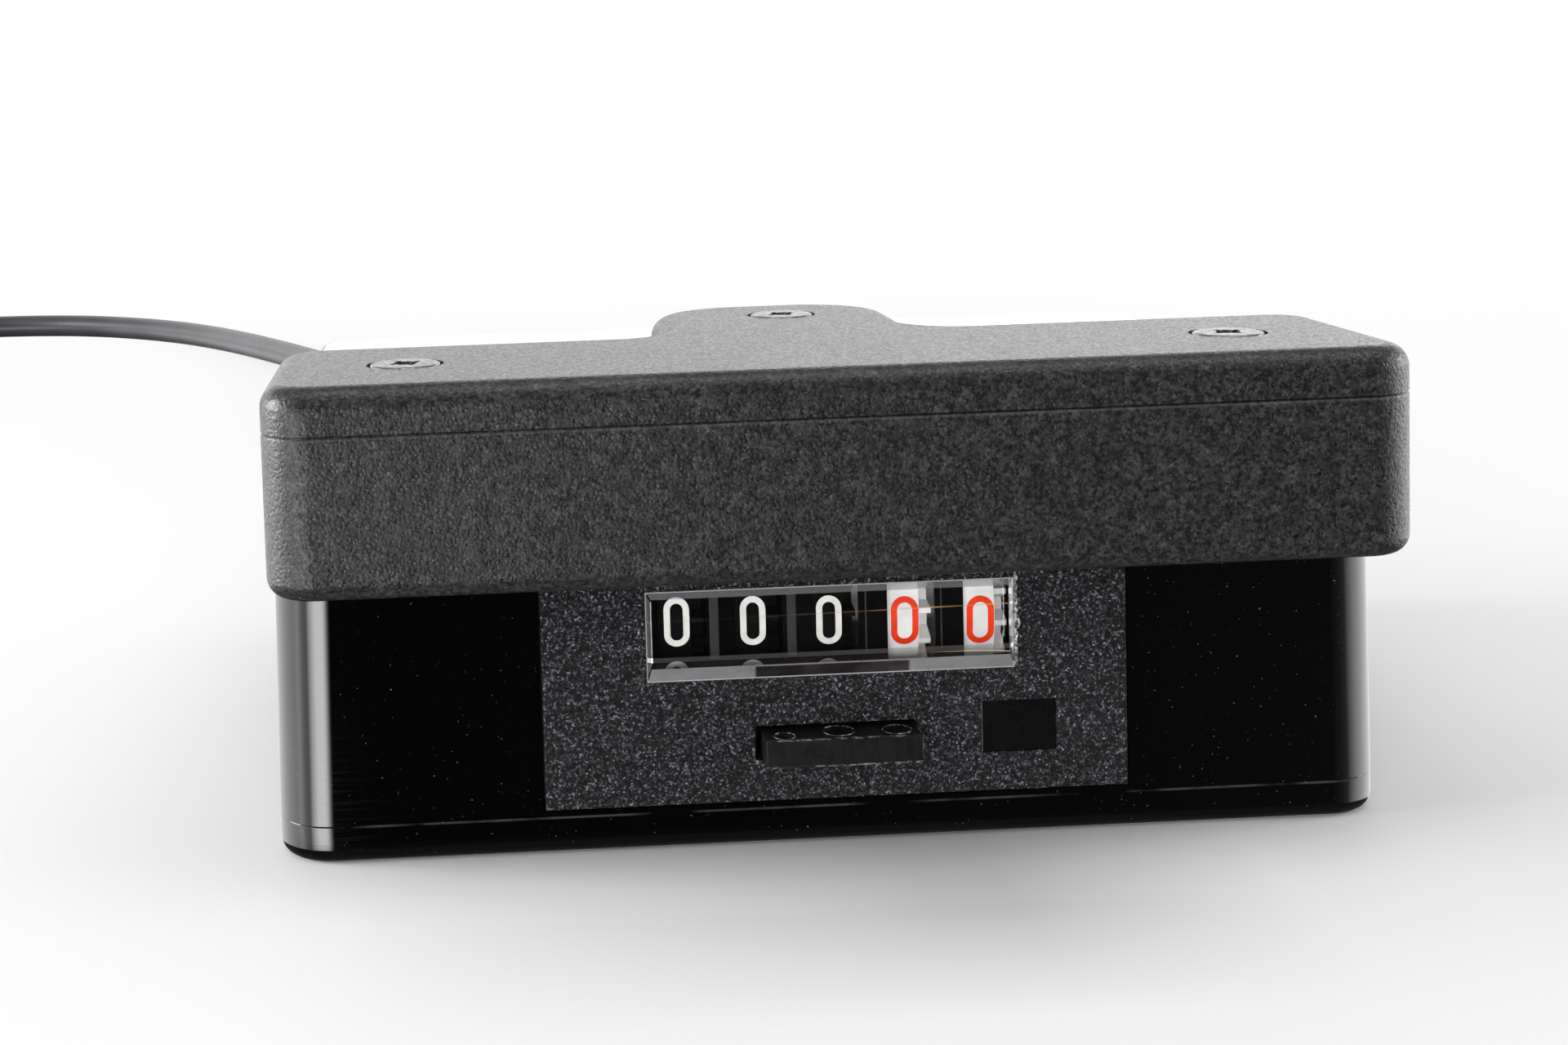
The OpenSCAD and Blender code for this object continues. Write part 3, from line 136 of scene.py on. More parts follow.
def rods(name, points, z, radius, length, **more):
    """The same upright rod at several points of a plan"""
    return [rod(name, (x, y, z), radius, length, **more) for x, y in points]


def enter_edit(piece, kind):
    """Edit mode with nothing selected; returns the mesh being edited"""
    pick(piece)
    bpy.ops.object.mode_set(mode="EDIT")
    bpy.ops.mesh.select_mode(type=kind)
    bpy.ops.mesh.select_all(action="DESELECT")
    mesh = bmesh.from_edit_mesh(piece.data)
    mesh.normal_update()
    return mesh


def select_edges(piece, test):
    """Edit mode with the edges that pass a test on their ends and the normals of their faces"""
    for edge in enter_edit(piece, "EDGE").edges:
        if test(edge.verts[0].co / MM, edge.verts[1].co / MM, [f.normal for f in edge.link_faces]):
            edge.select_set(True)
    bmesh.update_edit_mesh(piece.data)


def select_faces(piece, test):
    """Edit mode with the faces that pass a test on their middle and normal"""
    for face in enter_edit(piece, "FACE").faces:
        if test(face.calc_center_median() / MM, face.normal):
            face.select_set(True)
    bmesh.update_edit_mesh(piece.data)


def leave_edit():
    bpy.ops.object.mode_set(mode="OBJECT")


def facing(axis, sign):
    """A test for faces that look along an axis, forward or backward"""
    return lambda middle, normal: normal[axis] * sign > 0.9


def slice_across(piece, way, places):
    """Cuts a piece's faces along planes square to a direction, at places in mm"""
    for place in places:
        select_faces(piece, lambda middle, normal: True)
        bpy.ops.mesh.bisect(plane_co=[part * place * MM for part in way], plane_no=way)
        leave_edit()


def round_edges(piece, size, steps, test, clamp=True):
    """Bevels the edges that pass the test"""
    select_edges(piece, test)
    bpy.ops.mesh.bevel(offset=size * MM, segments=steps, affect="EDGES", clamp_overlap=clamp)
    leave_edit()


def upright(a, b, normals):
    """A test for edges that run up"""
    rise = abs(a.z - b.z)
    return rise > 0.8 and abs(a.x - b.x) + abs(a.y - b.y) < 0.25 * rise


def rim(direction):
    """A test for the outline of the face that looks one way"""
    way = Vector(direction)

    def test(a, b, normals):
        facing_it = sorted(n.dot(way) for n in normals)
        return len(normals) == 2 and facing_it[1] > 0.9 and facing_it[0] < 0.5
    return test


TOP_RIM, FOOT_RIM, FRONT_RIM = rim((0, 0, 1)), rim((0, 0, -1)), rim((0, -1, 0))


def add_modifier(piece, kind, **settings):
    """Adds a modifier and applies it"""
    pick(piece)
    modifier = piece.modifiers.new("shape", kind)
    for key, value in settings.items():
        setattr(modifier, key, value)
    bpy.ops.object.modifier_apply(modifier=modifier.name)
    return piece


def carve(piece, *tools, kind="DIFFERENCE"):
    """Takes each tool out of a piece, or adds it, and drops the tool"""
    for tool in tools:
        add_modifier(piece, "BOOLEAN", operation=kind, object=tool, solver="EXACT")
        bpy.data.objects.remove(tool, do_unlink=True)
    return piece


def join(*pieces):
    """Makes one piece of several, which keeps the first one's name"""
    pick(*pieces)
    if len(pieces) > 1:
        bpy.ops.object.join()
    return bpy.context.object


def smooth(piece, angle=32, weighted=True):
    """Smooth shading with sharp edges kept, and flat faces that stay flat"""
    pick(piece)
    bpy.ops.object.shade_smooth_by_angle(angle=math.radians(angle))
    if weighted:
        add_modifier(piece, "WEIGHTED_NORMAL", keep_sharp=True, weight=60)
    return piece


def dress(piece, finish, slot_name, body, *nodes, angle=32, weighted=True):
    """Shading, material, body and the nodes that a new piece stands for"""
    smooth(piece, angle, weighted)
    piece.data.materials.clear()
    piece.data.materials.append(finish)
    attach(piece, body)
    if nodes:
        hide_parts(*nodes)
    return piece


def paint(finish, *names):
    """Gives nodes that keep their own mesh a material"""
    for name in names:
        mesh = NODES[name].data
        if not mesh.materials:
            mesh.materials.append(finish)
        for k in range(len(mesh.materials)):
            mesh.materials[k] = finish


# Materials


class Signal:
    """A value in a node tree, with the usual arithmetic"""

    def __init__(self, owner, socket):
        self.owner, self.socket = owner, socket

    def maths(self, operation, *values):
        return self.owner.node("ShaderNodeMath", dict(enumerate(values)), operation=operation)

    def above(self, low, high, to_low=0.0, to_high=1.0):
        """Runs from to_low to to_high as the value goes from low to high"""
        return self.owner.node("ShaderNodeMapRange", {0: self, 1: low, 2: high, 3: to_low, 4: to_high})

    def band(self, sharpness):
        """One where the value is nought, falling to nought on both sides of it"""
        return (1 - self * self * sharpness).above(0, 1)

    def part(self, index):
        """One of a position's three numbers, in mm"""
        return self.owner.node("ShaderNodeSeparateXYZ", {0: self}, output=index) / MM


def arithmetic(operation, swapped=False):
    """A method that works out one operation on a signal and another value, either way round"""
    def method(self, other):
        return self.maths(operation, other, self) if swapped else self.maths(operation, self, other)
    return method


for sign, operation in (("add", "ADD"), ("sub", "SUBTRACT"), ("mul", "MULTIPLY"), ("truediv", "DIVIDE"),
                        ("pow", "POWER")):
    setattr(Signal, f"__{sign}__", arithmetic(operation))
    setattr(Signal, f"__r{sign}__", arithmetic(operation, True))


class Nodes:
    """The node tree of a material or of the surroundings, built from signals"""

    def __init__(self, tree):
        self.tree = tree

    def link(self, value, socket):
        if isinstance(value, Signal):
            self.tree.links.new(value.socket, socket)
        else:
            socket.default_value = value

    def node(self, kind, values=None, output=0, **settings):
        node = self.tree.nodes.new(kind)
        for key, value in settings.items():
            setattr(node, key, value)
        for key, value in (values or {}).items():
            self.link(value, node.inputs[key])
        return Signal(self, node.outputs[output])


class Finish(Nodes):
    """A material being made: one shader whose sockets are fed by signals"""

    def __init__(self, name, colour, roughness, metallic=0.0, **sockets):
        self.material = bpy.data.materials.new(name)
        self.material.use_nodes = True
        super().__init__(self.material.node_tree)
        self.shader = next(n for n in self.tree.nodes if n.type == "BSDF_PRINCIPLED")
        self.output = next(n for n in self.tree.nodes if n.type == "OUTPUT_MATERIAL")
        self.material.diffuse_color = (*colour, 1)
        self.feed("Base Color", (*colour, 1))
        self.feed("Roughness", roughness)
        self.feed("Metallic", metallic)
        for key, value in sockets.items():
            self.feed(key.replace("_", " "), value)
        self.height = None

    def feed(self, name, value):
        """Gives one of the shader's inputs a value or a signal"""
        names = {"Specular": "Specular IOR Level", "Subsurface": "Subsurface Weight"}
        self.link(value, self.shader.inputs[names.get(name, name)])

    def place(self, scale=None):
        """The point on the piece, in metres, stretched if asked"""
        point = self.node("ShaderNodeTexCoord", output=3)
        return self.node("ShaderNodeMapping", {"Vector": point, "Scale": scale}) if scale else point

    def noise(self, grain, detail=2.0, rough=0.5, at=None):
        """Soft random patches about as wide as the grain, in mm"""
        return self.node("ShaderNodeTexNoise", {"Vector": at or self.place(), "Scale": 1 / (grain * MM),
                                                "Detail": detail, "Roughness": rough})

    def cells(self, grain, feature="F1", randomness=1.0):
        """Distance to the nearest of many scattered points, one for each grain"""
        return self.node("ShaderNodeTexVoronoi", {"Vector": self.place(), "Scale": 1 / (grain * MM),
                                                  "Randomness": randomness}, feature=feature)

    def specks(self, grain):
        """A random value for each of many small cells, one for each grain"""
        values = {"Vector": self.place(), "Scale": 1 / (grain * MM)}
        return self.node("ShaderNodeTexVoronoi", values, output=1)

    def tint(self, factor, first, second):
        """A colour between two others"""
        mix = self.tree.nodes.new("ShaderNodeMix")
        mix.data_type = "RGBA"
        self.link(factor, mix.inputs[0])
        for socket, colour in ((mix.inputs[6], first), (mix.inputs[7], second)):
            self.link(colour if isinstance(colour, Signal) else (*colour, 1), socket)
        return Signal(self, mix.outputs[2])

    def colour(self, factor, first, second):
        """The surface's colour, between two others"""
        self.feed("Base Color", self.tint(factor, first, second))

    def rough(self, value, low, high, start=0.3, end=0.7):
        """The surface's roughness, from low to high as a value goes from start to end"""
        self.feed("Roughness", value.above(start, end, low, high))

    def bump(self, height, depth, strength=1.0):
        """Raises the surface by a height signal times a depth in mm"""
        values = {"Height": height, "Distance": depth * MM, "Strength": strength}
        if self.height is not None:
            values["Normal"] = self.height
        self.height = self.node("ShaderNodeBump", values)
        self.feed("Normal", self.height)

    def over(self, factor, shader):
        """Mixes another shader over this one"""
        mix = self.tree.nodes.new("ShaderNodeMixShader")
        self.link(factor, mix.inputs[0])
        self.tree.links.new(self.shader.outputs[0], mix.inputs[1])
        self.tree.links.new(shader.socket, mix.inputs[2])
        self.tree.links.new(mix.outputs[0], self.output.inputs[0])


def grey(value):
    return (value, value, value)


def shade(colour, factor):
    """A colour made darker or lighter"""
    return tuple(min(1, part * factor) for part in colour)


def hood_finish(look, bottom, seam):
    """Matte black moulding with a fine pebbled grain whose bright specks are partly painted sparkle,
    painted shade along the seam with a painted highlight just below it, and a painted reflection along its
    lower edge
    """
    f = Finish("pebbled_black_moulding", tuple(look.hood), 0.4, Specular=0.5)
    specks = f.specks(0.22)
    fine = f.noise(0.45, 4, 0.7)
    pits = f.noise(0.55, 2, 0.5).above(0.6, 0.68)
    patch = f.noise(1.7, 3, 0.6)
    height = f.place().part(2)
    right = f.place().part(0).above(5, 40, 0.35, 1)
    # Painted shade: the colour darkens sharply along the seam, where the gap between lid and body lies in
    # shade
    seam_shade = (height - seam).band(90)
    # Painted highlight: a paler band on the body's top edge just below the seam
    paler_band = (height - seam + 0.22).band(60)
    # Painted reflection of the floor: the colour gets lighter towards the hood's lower edge
    painted_sheen = height.above(bottom + 1.6, bottom + 0.2)
    # The specks give the grain its random tone and are also painted sparkle: bright dots that stand in for
    # glints
    tone = (specks ** 3) * 0.75 + fine.above(0.44, 0.58) * 0.4
    tone = tone * patch.above(0.38, 0.6, 0.5, 1) * (1 - pits * right) + painted_sheen * 0.22
    tone = (tone + paler_band * 0.35) * (1 - seam_shade * 0.92)
    f.colour(tone, shade(look.hood, 0.05), shade(look.hood, 4.6))
    f.rough(specks, 0.48, 0.28, 0, 1)
    f.bump(f.cells(0.35).above(0.1, 0.6), 0.03, 0.8)
    f.bump(fine - pits * right * 0.5, 0.07, 0.8)
    return f.material


def case_finish(look, seam):
    """Deep glossy black, with faint marks by the lower left corner, painted highlights in spots along the
    seam and some dust
    """
    f = Finish("glossy_black_moulding", tuple(look.case), 0.06, Specular=0.5)
    place = f.place()
    marks = f.noise(0.35, 4, 0.6, at=f.place(scale=(0.03, 0.03, 1)))
    corner = place.part(0).above(-34, -48) * place.part(2).above(16, 4)
    dust = f.noise(0.3, 2).above(0.735, 0.765)
    # Painted highlight: paler spots in the colour along the seam with the base
    along_seam = f.noise(5, 4, at=f.place(scale=(1, 1, 0))).above(0.42, 0.62)
    painted_seam_glint = (place.part(2) - seam + 0.14).band(60) * along_seam
    handled = 0.04 * f.noise(9, 3).above(0.45, 0.8)
    f.feed("Roughness", 0.03 + handled + 0.16 * corner * marks.above(0.45, 0.7))
    f.colour(dust + painted_seam_glint * 0.45, tuple(look.case), grey(0.07))
    f.bump(marks, 0.012, 0.12)
    return f.material


def bezel_finish(look):
    """Charcoal moulding with a sharp spark texture whose glitter is painted: bright specks in its colour,
    which are also glossier
    """
    f = Finish("sparked_charcoal_moulding", tuple(look.bezel), 0.34, Specular=0.25)
    specks = f.specks(0.17)
    grain = f.noise(0.5, 5, 0.85)
    patch = f.noise(2.2, 3)
    # Painted glitter: a few specks take a colour many times brighter than the rest, standing in for glints
    tone = (specks ** 6) * grain.above(0.4, 0.56) * patch.above(0.25, 0.7, 0.6, 1)
    f.colour(tone, shade(look.bezel, 0.12), shade(look.bezel, 66))
    f.rough(specks, 0.5, 0.22, 0.5, 1)
    f.bump(f.cells(0.3).above(0.1, 0.7), 0.08, 0.9)
    f.bump(grain, 0.25, 1.0)
    return f.material


def button_finish(front, bottom, top):
    """Satin black moulding with fine drag marks, its front top and bottom edges paler in patches"""
    f = Finish("satin_black_moulding", (0.0045, 0.0045, 0.005), 0.42, Specular=0.35)
    drag = f.noise(0.25, 3, 0.6, at=f.place(scale=(1, 1, 0.2)))
    scuff = f.noise(1.1, 4, 0.65)
    place = f.place()
    z = place.part(2)
    # Paler patches along the front's top and bottom edges
    rims = z.above(bottom + 0.27, bottom + 0.18) + z.above(top - 0.13, top - 0.05)
    patchy = f.noise(0.5, 4, 0.8, at=f.place(scale=(0.6, 1, 1))).above(0.47, 0.6)
    paler_band = rims * patchy * place.part(1).above(front + 0.3, front + 0.2)
    plain = f.tint(scuff.above(0.35, 0.75), (0.0035, 0.0035, 0.004), (0.007, 0.007, 0.0075))
    f.colour(paler_band, plain, grey(0.16))
    f.rough(drag, 0.34, 0.52)
    f.bump(drag, 0.02, 0.35)
    return f.material


def burr_finish():
    """A raised black rim, pale in spots: painted glints"""
    f = Finish("burr_painted_glints", grey(0.03), 0.25, Specular=0.5)
    spots = f.noise(0.6, 3, 0.7).above(0.5, 0.58)
    # Painted glints: pale spots in the rim's colour
    f.colour(spots, grey(0.006), grey(0.2))
    f.rough(spots, 0.4, 0.2, 0, 1)
    return f.material


def moulded_finish(name, colour, roughness=0.45, depth=0.02, grain=0.5, specular=0.45, **sockets):
    """A plain moulded plastic with a faint grain and tone"""
    f = Finish(name, colour, roughness, Specular=specular, **sockets)
    tone = f.noise(grain * 4, 3)
    fine = f.noise(grain, 3, 0.6)
    f.colour(tone.above(0.3, 0.7), shade(colour, 0.82), colour)
    f.rough(fine, roughness - 0.07, roughness + 0.08)
    f.bump(fine, depth, 0.4)
    return f.material


def metal_finish(name, colour, roughness=0.25, stretch=(1, 1, 1), grain=0.3):
    """Metal with brush or turning marks and a little tarnish"""
    f = Finish(name, colour, roughness, metallic=1.0)
    marks = f.noise(grain, 4, 0.6, at=f.place(scale=stretch))
    tone = f.noise(3, 3)
    f.colour(tone.above(0.35, 0.75), colour, shade(colour, 0.72))
    f.rough(marks, roughness - 0.06, roughness + 0.1)
    f.bump(marks, 0.012, 0.3)
    return f.material


def screw_finish():
    """Bright plating, scuffed"""
    f = Finish("bright_plating", (0.3, 0.3, 0.29), 0.3, metallic=1.0, Specular_Tint=(0.75, 0.75, 0.75, 1))
    scuff = f.noise(0.45, 4, 0.7)
    f.colour(scuff.above(0.4, 0.62), (0.33, 0.33, 0.32), (0.16, 0.16, 0.155))
    f.rough(scuff, 0.22, 0.45)
    f.bump(f.noise(0.25, 3), 0.04, 0.4)
    return f.material


def recess_finish():
    """The dark inside of a screw's recess: painted shade"""
    f = Finish("recess_painted_shade", (0.03, 0.028, 0.026), 0.6, metallic=0.4)
    # Painted shade: the recess gets a colour far darker than the plating
    painted_shade = f.noise(0.3, 4, 0.7)
    f.colour(painted_shade.above(0.42, 0.7), (0.008, 0.008, 0.008), (0.09, 0.085, 0.08))
    f.rough(painted_shade, 0.5, 0.75)
    return f.material


def lens_finish(front, edge):
    """Clear acrylic, with a thin warm line of painted glow on its front, a faint painted glow along a step
    near its lower edge, and a few scuffs
    """
    f = Finish("clear_acrylic", (0.95, 0.96, 0.97), 0.03, metallic=1.0, Emission_Strength=1.0)
    gloss = f.node("ShaderNodeFresnel", {"IOR": 1.49})
    place = f.place()
    x, z = place.part(0), place.part(2)
    line_height, line_slope = 21.35, 0.012
    off = z - x * line_slope - line_height
    fade = f.noise(5, 2, at=f.place(scale=(1, 0, 0))).above(0.3, 0.6, 0.25, 1)
    near = place.part(1).above(front + 0.3, front + 0.2)
    # Painted light: a thin warm line that glows on the front, standing in for a flare in the acrylic
    painted_flare = off.band(150) * fade * x.above(-8, 16, 0.12, 1) * near
    haze = (off + 0.45).band(5) * near * x.above(-15, -6) * x.above(8, 2) * 0.04
    scuff = f.noise(0.35, 4, 0.7).above(0.68, 0.75) * 0.25
    f.rough(f.noise(3, 3), 0.02, 0.08, 0.45, 0.8)
    # Painted highlight: a faint pale glow on a narrow band just above the border's edge
    step = z.above(edge - 0.02, edge) * z.above(edge + 0.42, edge + 0.4) * near
    painted_step_glow = f.tint(step, (0, 0, 0), (0.13, 0.11, 0.115))
    f.feed("Emission Color", f.tint(painted_flare, painted_step_glow, (1.0, 0.52, 0.16)))
    f.feed("Alpha", gloss + painted_flare * 0.75 + haze + step * 0.25 + scuff * 0.3)
    return f.material


def frost_finish(top, edge):
    """The lens's slanting border: milky, with a painted dark reflection of the button in it, and a thin
    yellow caustic
    """
    f = Finish("frosted_border", (0.15, 0.15, 0.152), 0.3, Specular=0.25, Emission_Strength=1.0)
    place = f.place()
    x, z = place.part(0), place.part(2)
    upper = z.above(edge + 1, edge + 1.1)
    # Painted reflection of the button: the border is darker over the button's width
    painted_button_reflection = z.above(edge - 0.72, edge - 0.82) * x.above(-7.4, -7.2) * x.above(6.8, 6.5)
    smear = f.noise(2.5, 3, 0.6, at=f.place(scale=(0.5, 1, 1)))
    milky = f.tint(smear.above(0.35, 0.7), (0.115, 0.113, 0.12), (0.16, 0.158, 0.16))
    dark = f.tint(smear.above(0.4, 0.6), (0.009, 0.007, 0.008), (0.022, 0.018, 0.018))
    top_strip = f.tint(z.above(top - 0.62, top - 0.5), (0.012, 0.013, 0.03), (0.15, 0.15, 0.157))
    f.colour(upper, f.tint(painted_button_reflection, milky, dark), top_strip)
    f.rough(smear, 0.24, 0.4)
    run = (x - 7) / 10
    off = z - edge + 0.1 + run * run * run * run * 0.45
    caustic = off.band(220) * x.above(6.5, 10) * x.above(16.6, 16.0)
    f.feed("Emission Color", f.tint(caustic, (0, 0, 0), (0.75, 0.5, 0.14)))
    f.feed("Alpha", z.above(edge - 0.6, edge - 0.66, 0.05, 0.97) + upper * 0.5 + caustic * 0.5)
    return f.material


def chip_finish():
    """Torn clear plastic, white where it is crazed"""
    f = Finish("crazed_edge", (0.55, 0.55, 0.54), 0.3, Specular=0.5)
    crumb = f.noise(0.3, 3, 0.7)
    streak = f.noise(2.2, 2, at=f.place(scale=(0, 0, 1))).above(0.4, 0.6)
    f.colour(crumb.above(0.42, 0.6) * (0.15 + 0.85 * streak), (0.02, 0.02, 0.022), (0.7, 0.7, 0.69))
    f.rough(crumb, 0.2, 0.6)
    f.bump(crumb, 0.1, 1.0)
    return f.material


def lead_finish():
    """Dark grey soft jacket, slightly dull, with handling marks"""
    f = Finish("grey_lead_jacket", (0.047, 0.048, 0.052), 0.42, Specular=0.45)
    tone = f.noise(12, 3)
    scuff = f.noise(0.6, 4, 0.65)
    f.colour(tone.above(0.3, 0.7), (0.040, 0.041, 0.045), (0.057, 0.058, 0.062))
    f.rough(scuff, 0.36, 0.5)
    f.bump(scuff, 0.03, 0.25)
    return f.material


def glow_finish():
    """Milky diffuser that scatters light"""
    f = Finish("milky_diffuser", (0.78, 0.79, 0.8), 0.5, Subsurface=0.4, Subsurface_Scale=0.002)
    f.rough(f.noise(0.4, 3), 0.42, 0.58)
    f.bump(f.noise(0.3, 3), 0.03, 0.3)
    return f.material


def board_finish(name, mask, track):
    """Circuit board: solder mask over copper tracks that show as slight ridges"""
    f = Finish(name, mask, 0.35, Specular=0.5)
    lines = f.cells(3.4, feature="DISTANCE_TO_EDGE", randomness=0.55).above(0.07, 0.09, 1, 0)
    f.colour(lines, mask, track)
    f.rough(f.noise(0.8, 3), 0.28, 0.42)
    f.bump(lines, 0.035, 0.6)
    return f.material


def winding_finish():
    """Enamelled copper wire, wound in rows"""
    f = Finish("enamelled_wire", (0.42, 0.14, 0.045), 0.3, metallic=0.6)
    rows = f.node("ShaderNodeTexWave", {"Vector": f.place(), "Scale": 1400.0, "Distortion": 0.6},
                  wave_type="BANDS", bands_direction="Z")
    f.colour(rows, (0.2, 0.06, 0.02), (0.5, 0.18, 0.06))
    f.rough(rows, 0.42, 0.24, 0, 1)
    f.bump(rows, 0.1, 0.8)
    return f.material


# Sizes and colours that a user would change


def colour_setting(name, piece, default):
    return bpy.props.FloatVectorProperty(name=name, description="Colour of " + piece, subtype="COLOR",
                                         size=3, min=0, max=1, default=default)


def size_setting(name, description, default, low, high):
    return bpy.props.FloatProperty(name=name, description=description + ", mm", default=default,
                                   min=low, max=high)


class TripMeterLook(bpy.types.PropertyGroup):
    case: colour_setting("Case", "the glossy case and base", (0.0006, 0.0006, 0.0008))
    hood: colour_setting("Hood", "the pebbled hood", (0.0105, 0.0105, 0.011))
    bezel: colour_setting("Bezel", "the counter's bezel", (0.0070, 0.0073, 0.0083))
    whole_figures: colour_setting("Whole figures", "the figures on black wheels", (0.9, 0.9, 0.85))
    part_figures: colour_setting("Part figures", "the figures on white wheels", (0.95, 0.05, 0.008))
    floor: colour_setting("Floor", "the pale floor", (0.64, 0.64, 0.645))


class TripMeterSizes(bpy.types.PropertyGroup):
    case_corner: size_setting("Case corner", "Radius of the case's upright corners", 5.2, 1, 9)
    case_top: size_setting("Case top edge", "Radius of the case's top edge", 1.5, 0.2, 3)
    foot_edge: size_setting("Foot edge", "Radius of the base's lower edge", 1.4, 0.2, 3)
    hood_corner: size_setting("Hood corner", "Radius of the hood's corners", 4.4, 1, 7)
    lid_edge: size_setting("Lid edge", "Radius of the lid's top edge", 2.0, 0.2, 3)
    hood_edge: size_setting("Hood lower edge", "Radius of the hood's lower edge", 1.7, 0.2, 3)
    figure_height: size_setting("Figure height", "Height of a wheel's figure", 4.6, 3, 5.5)
    figure_width: size_setting("Figure width", "Width of a wheel's figure", 2.55, 1.5, 2.9)
    stroke: size_setting("Stroke", "Thickness of a figure's stroke", 0.58, 0.3, 0.9)
    lead: size_setting("Lead", "Diameter of the lead", 6.0, 4, 8)


def look():
    return bpy.context.scene.trip_meter_look


def sizes():
    return bpy.context.scene.trip_meter_sizes


# Pieces


class TRIPMETER_OT_camera(bpy.types.Operator):
    """Sets the camera where the picture was taken"""
    bl_idname = "tripmeter.camera"
    bl_label = "Camera"

    def execute(self, context):
        pitch, yaw, roll = 4.272, 2.199, -1.901
        # Picture size, focal length and picture middle in pixels, and the sensor's width in mm
        wide, tall = 1920, 1280
        focal, middle_x, middle_y = 2581.106, 663.876, 280.851
        sensor = 36
        turn = Matrix.Identity(3)
        for degrees, axis in ((roll, "Y"), (pitch, "X"), (yaw, "Z")):
            turn = turn @ Matrix.Rotation(math.radians(degrees), 3, axis)
        right, ahead, up = turn
        place = Matrix.Translation(Vector((-32.256, -218.954, 70.579)) * MM)
        bpy.ops.object.camera_add()
        camera = context.object
        camera.name = "picture_camera"
        camera.matrix_world = place @ Matrix((right, up, -ahead)).transposed().to_4x4()
        camera.data.sensor_width = sensor
        camera.data.lens = focal / wide * sensor
        camera.data.shift_x = (wide / 2 - middle_x) / wide
        camera.data.shift_y = (middle_y - tall / 2) / wide
        camera.data.clip_start = 0.01
        context.scene.camera = camera
        return {"FINISHED"}


# The lead's way from the case to its coil: it comes down to the floor and curves off to the left
LEAD_ROUTE = [
    (-30, 64.5, 11), (-30, 71, 11), (-30, 80, 10.5), (-30.5, 92, 8), (-31, 105, 5.5), (-32, 118, 3.5),
    (-33, 131, 3), (-35, 146, 3), (-36.5, 161, 3), (-38.5, 176, 3), (-41, 191, 3), (-44, 206, 3),
    (-47.5, 221, 3), (-51.5, 236, 3), (-56, 251, 3), (-61, 266, 3), (-67, 281, 3), (-74, 296, 3),
    (-80.5, 309, 3), (-90.5, 327.5, 3), (-101, 344, 3), (-113, 359, 3), (-126, 371, 3), (-139, 379.5, 3),
    (-151, 384, 3), (-163, 386, 3), (-176, 386.5, 3), (-188, 386.5, 3.4), (-194, 386.5, 3.8),
    (-200, 386.5, 3.8)]


def coil_point(turn):
    """A point on the coil: it spirals in, climbs a layer and spirals out again"""
    inner, pitch, inmost, rounding = 23.6, 6.5, 2.625, 0.003
    middle_x, start_y, lower_layer = -206, 386.5, 3.8
    radius = inner + pitch * math.sqrt((turn - inmost) ** 2 + rounding)
    climb = max(0.0, min(1.0, (turn - inmost + 0.25) / 0.5))
    angle = math.radians(90 + 360 * turn)
    middle_y = start_y - (inner + pitch * inmost)
    return (middle_x + radius * math.cos(angle), middle_y + radius * math.sin(angle),
            lower_layer + pitch * climb * climb * (3 - 2 * climb))


def curve_piece(name, route, radius, smoothness=6, steps=4):
    """A round cord along a route of points in mm"""
    data = bpy.data.curves.new(name, "CURVE")
    data.dimensions = "3D"
    data.resolution_u = data.render_resolution_u = steps
    data.bevel_depth = radius * MM
    data.bevel_resolution = smoothness
    data.use_fill_caps = True
    data.twist_mode = "MINIMUM"
    line = data.splines.new("BEZIER")
    line.bezier_points.add(len(route) - 1)
    for point, place in zip(line.bezier_points, route):
        point.co = Vector(place) * MM
        point.handle_left_type = point.handle_right_type = "AUTO"
    piece = bpy.data.objects.new(name, data)
    bpy.context.collection.objects.link(piece)
    return piece


def wires(name, routes, radius, finish, slot_name=None, node=None, smoothness=3, steps=4):
    """Round wires along their routes, joined into one piece; it stands for a node if one is named"""
    pieces = []
    for route in routes:
        pick(curve_piece(name, route, radius, smoothness, steps))
        bpy.ops.object.convert(target="MESH")
        pieces.append(bpy.context.object)
    piece = join(*pieces)
    if node:
        return dress(piece, finish, slot_name, "case", node, angle=50, weighted=False)
    piece.data.materials.append(finish)
    return piece


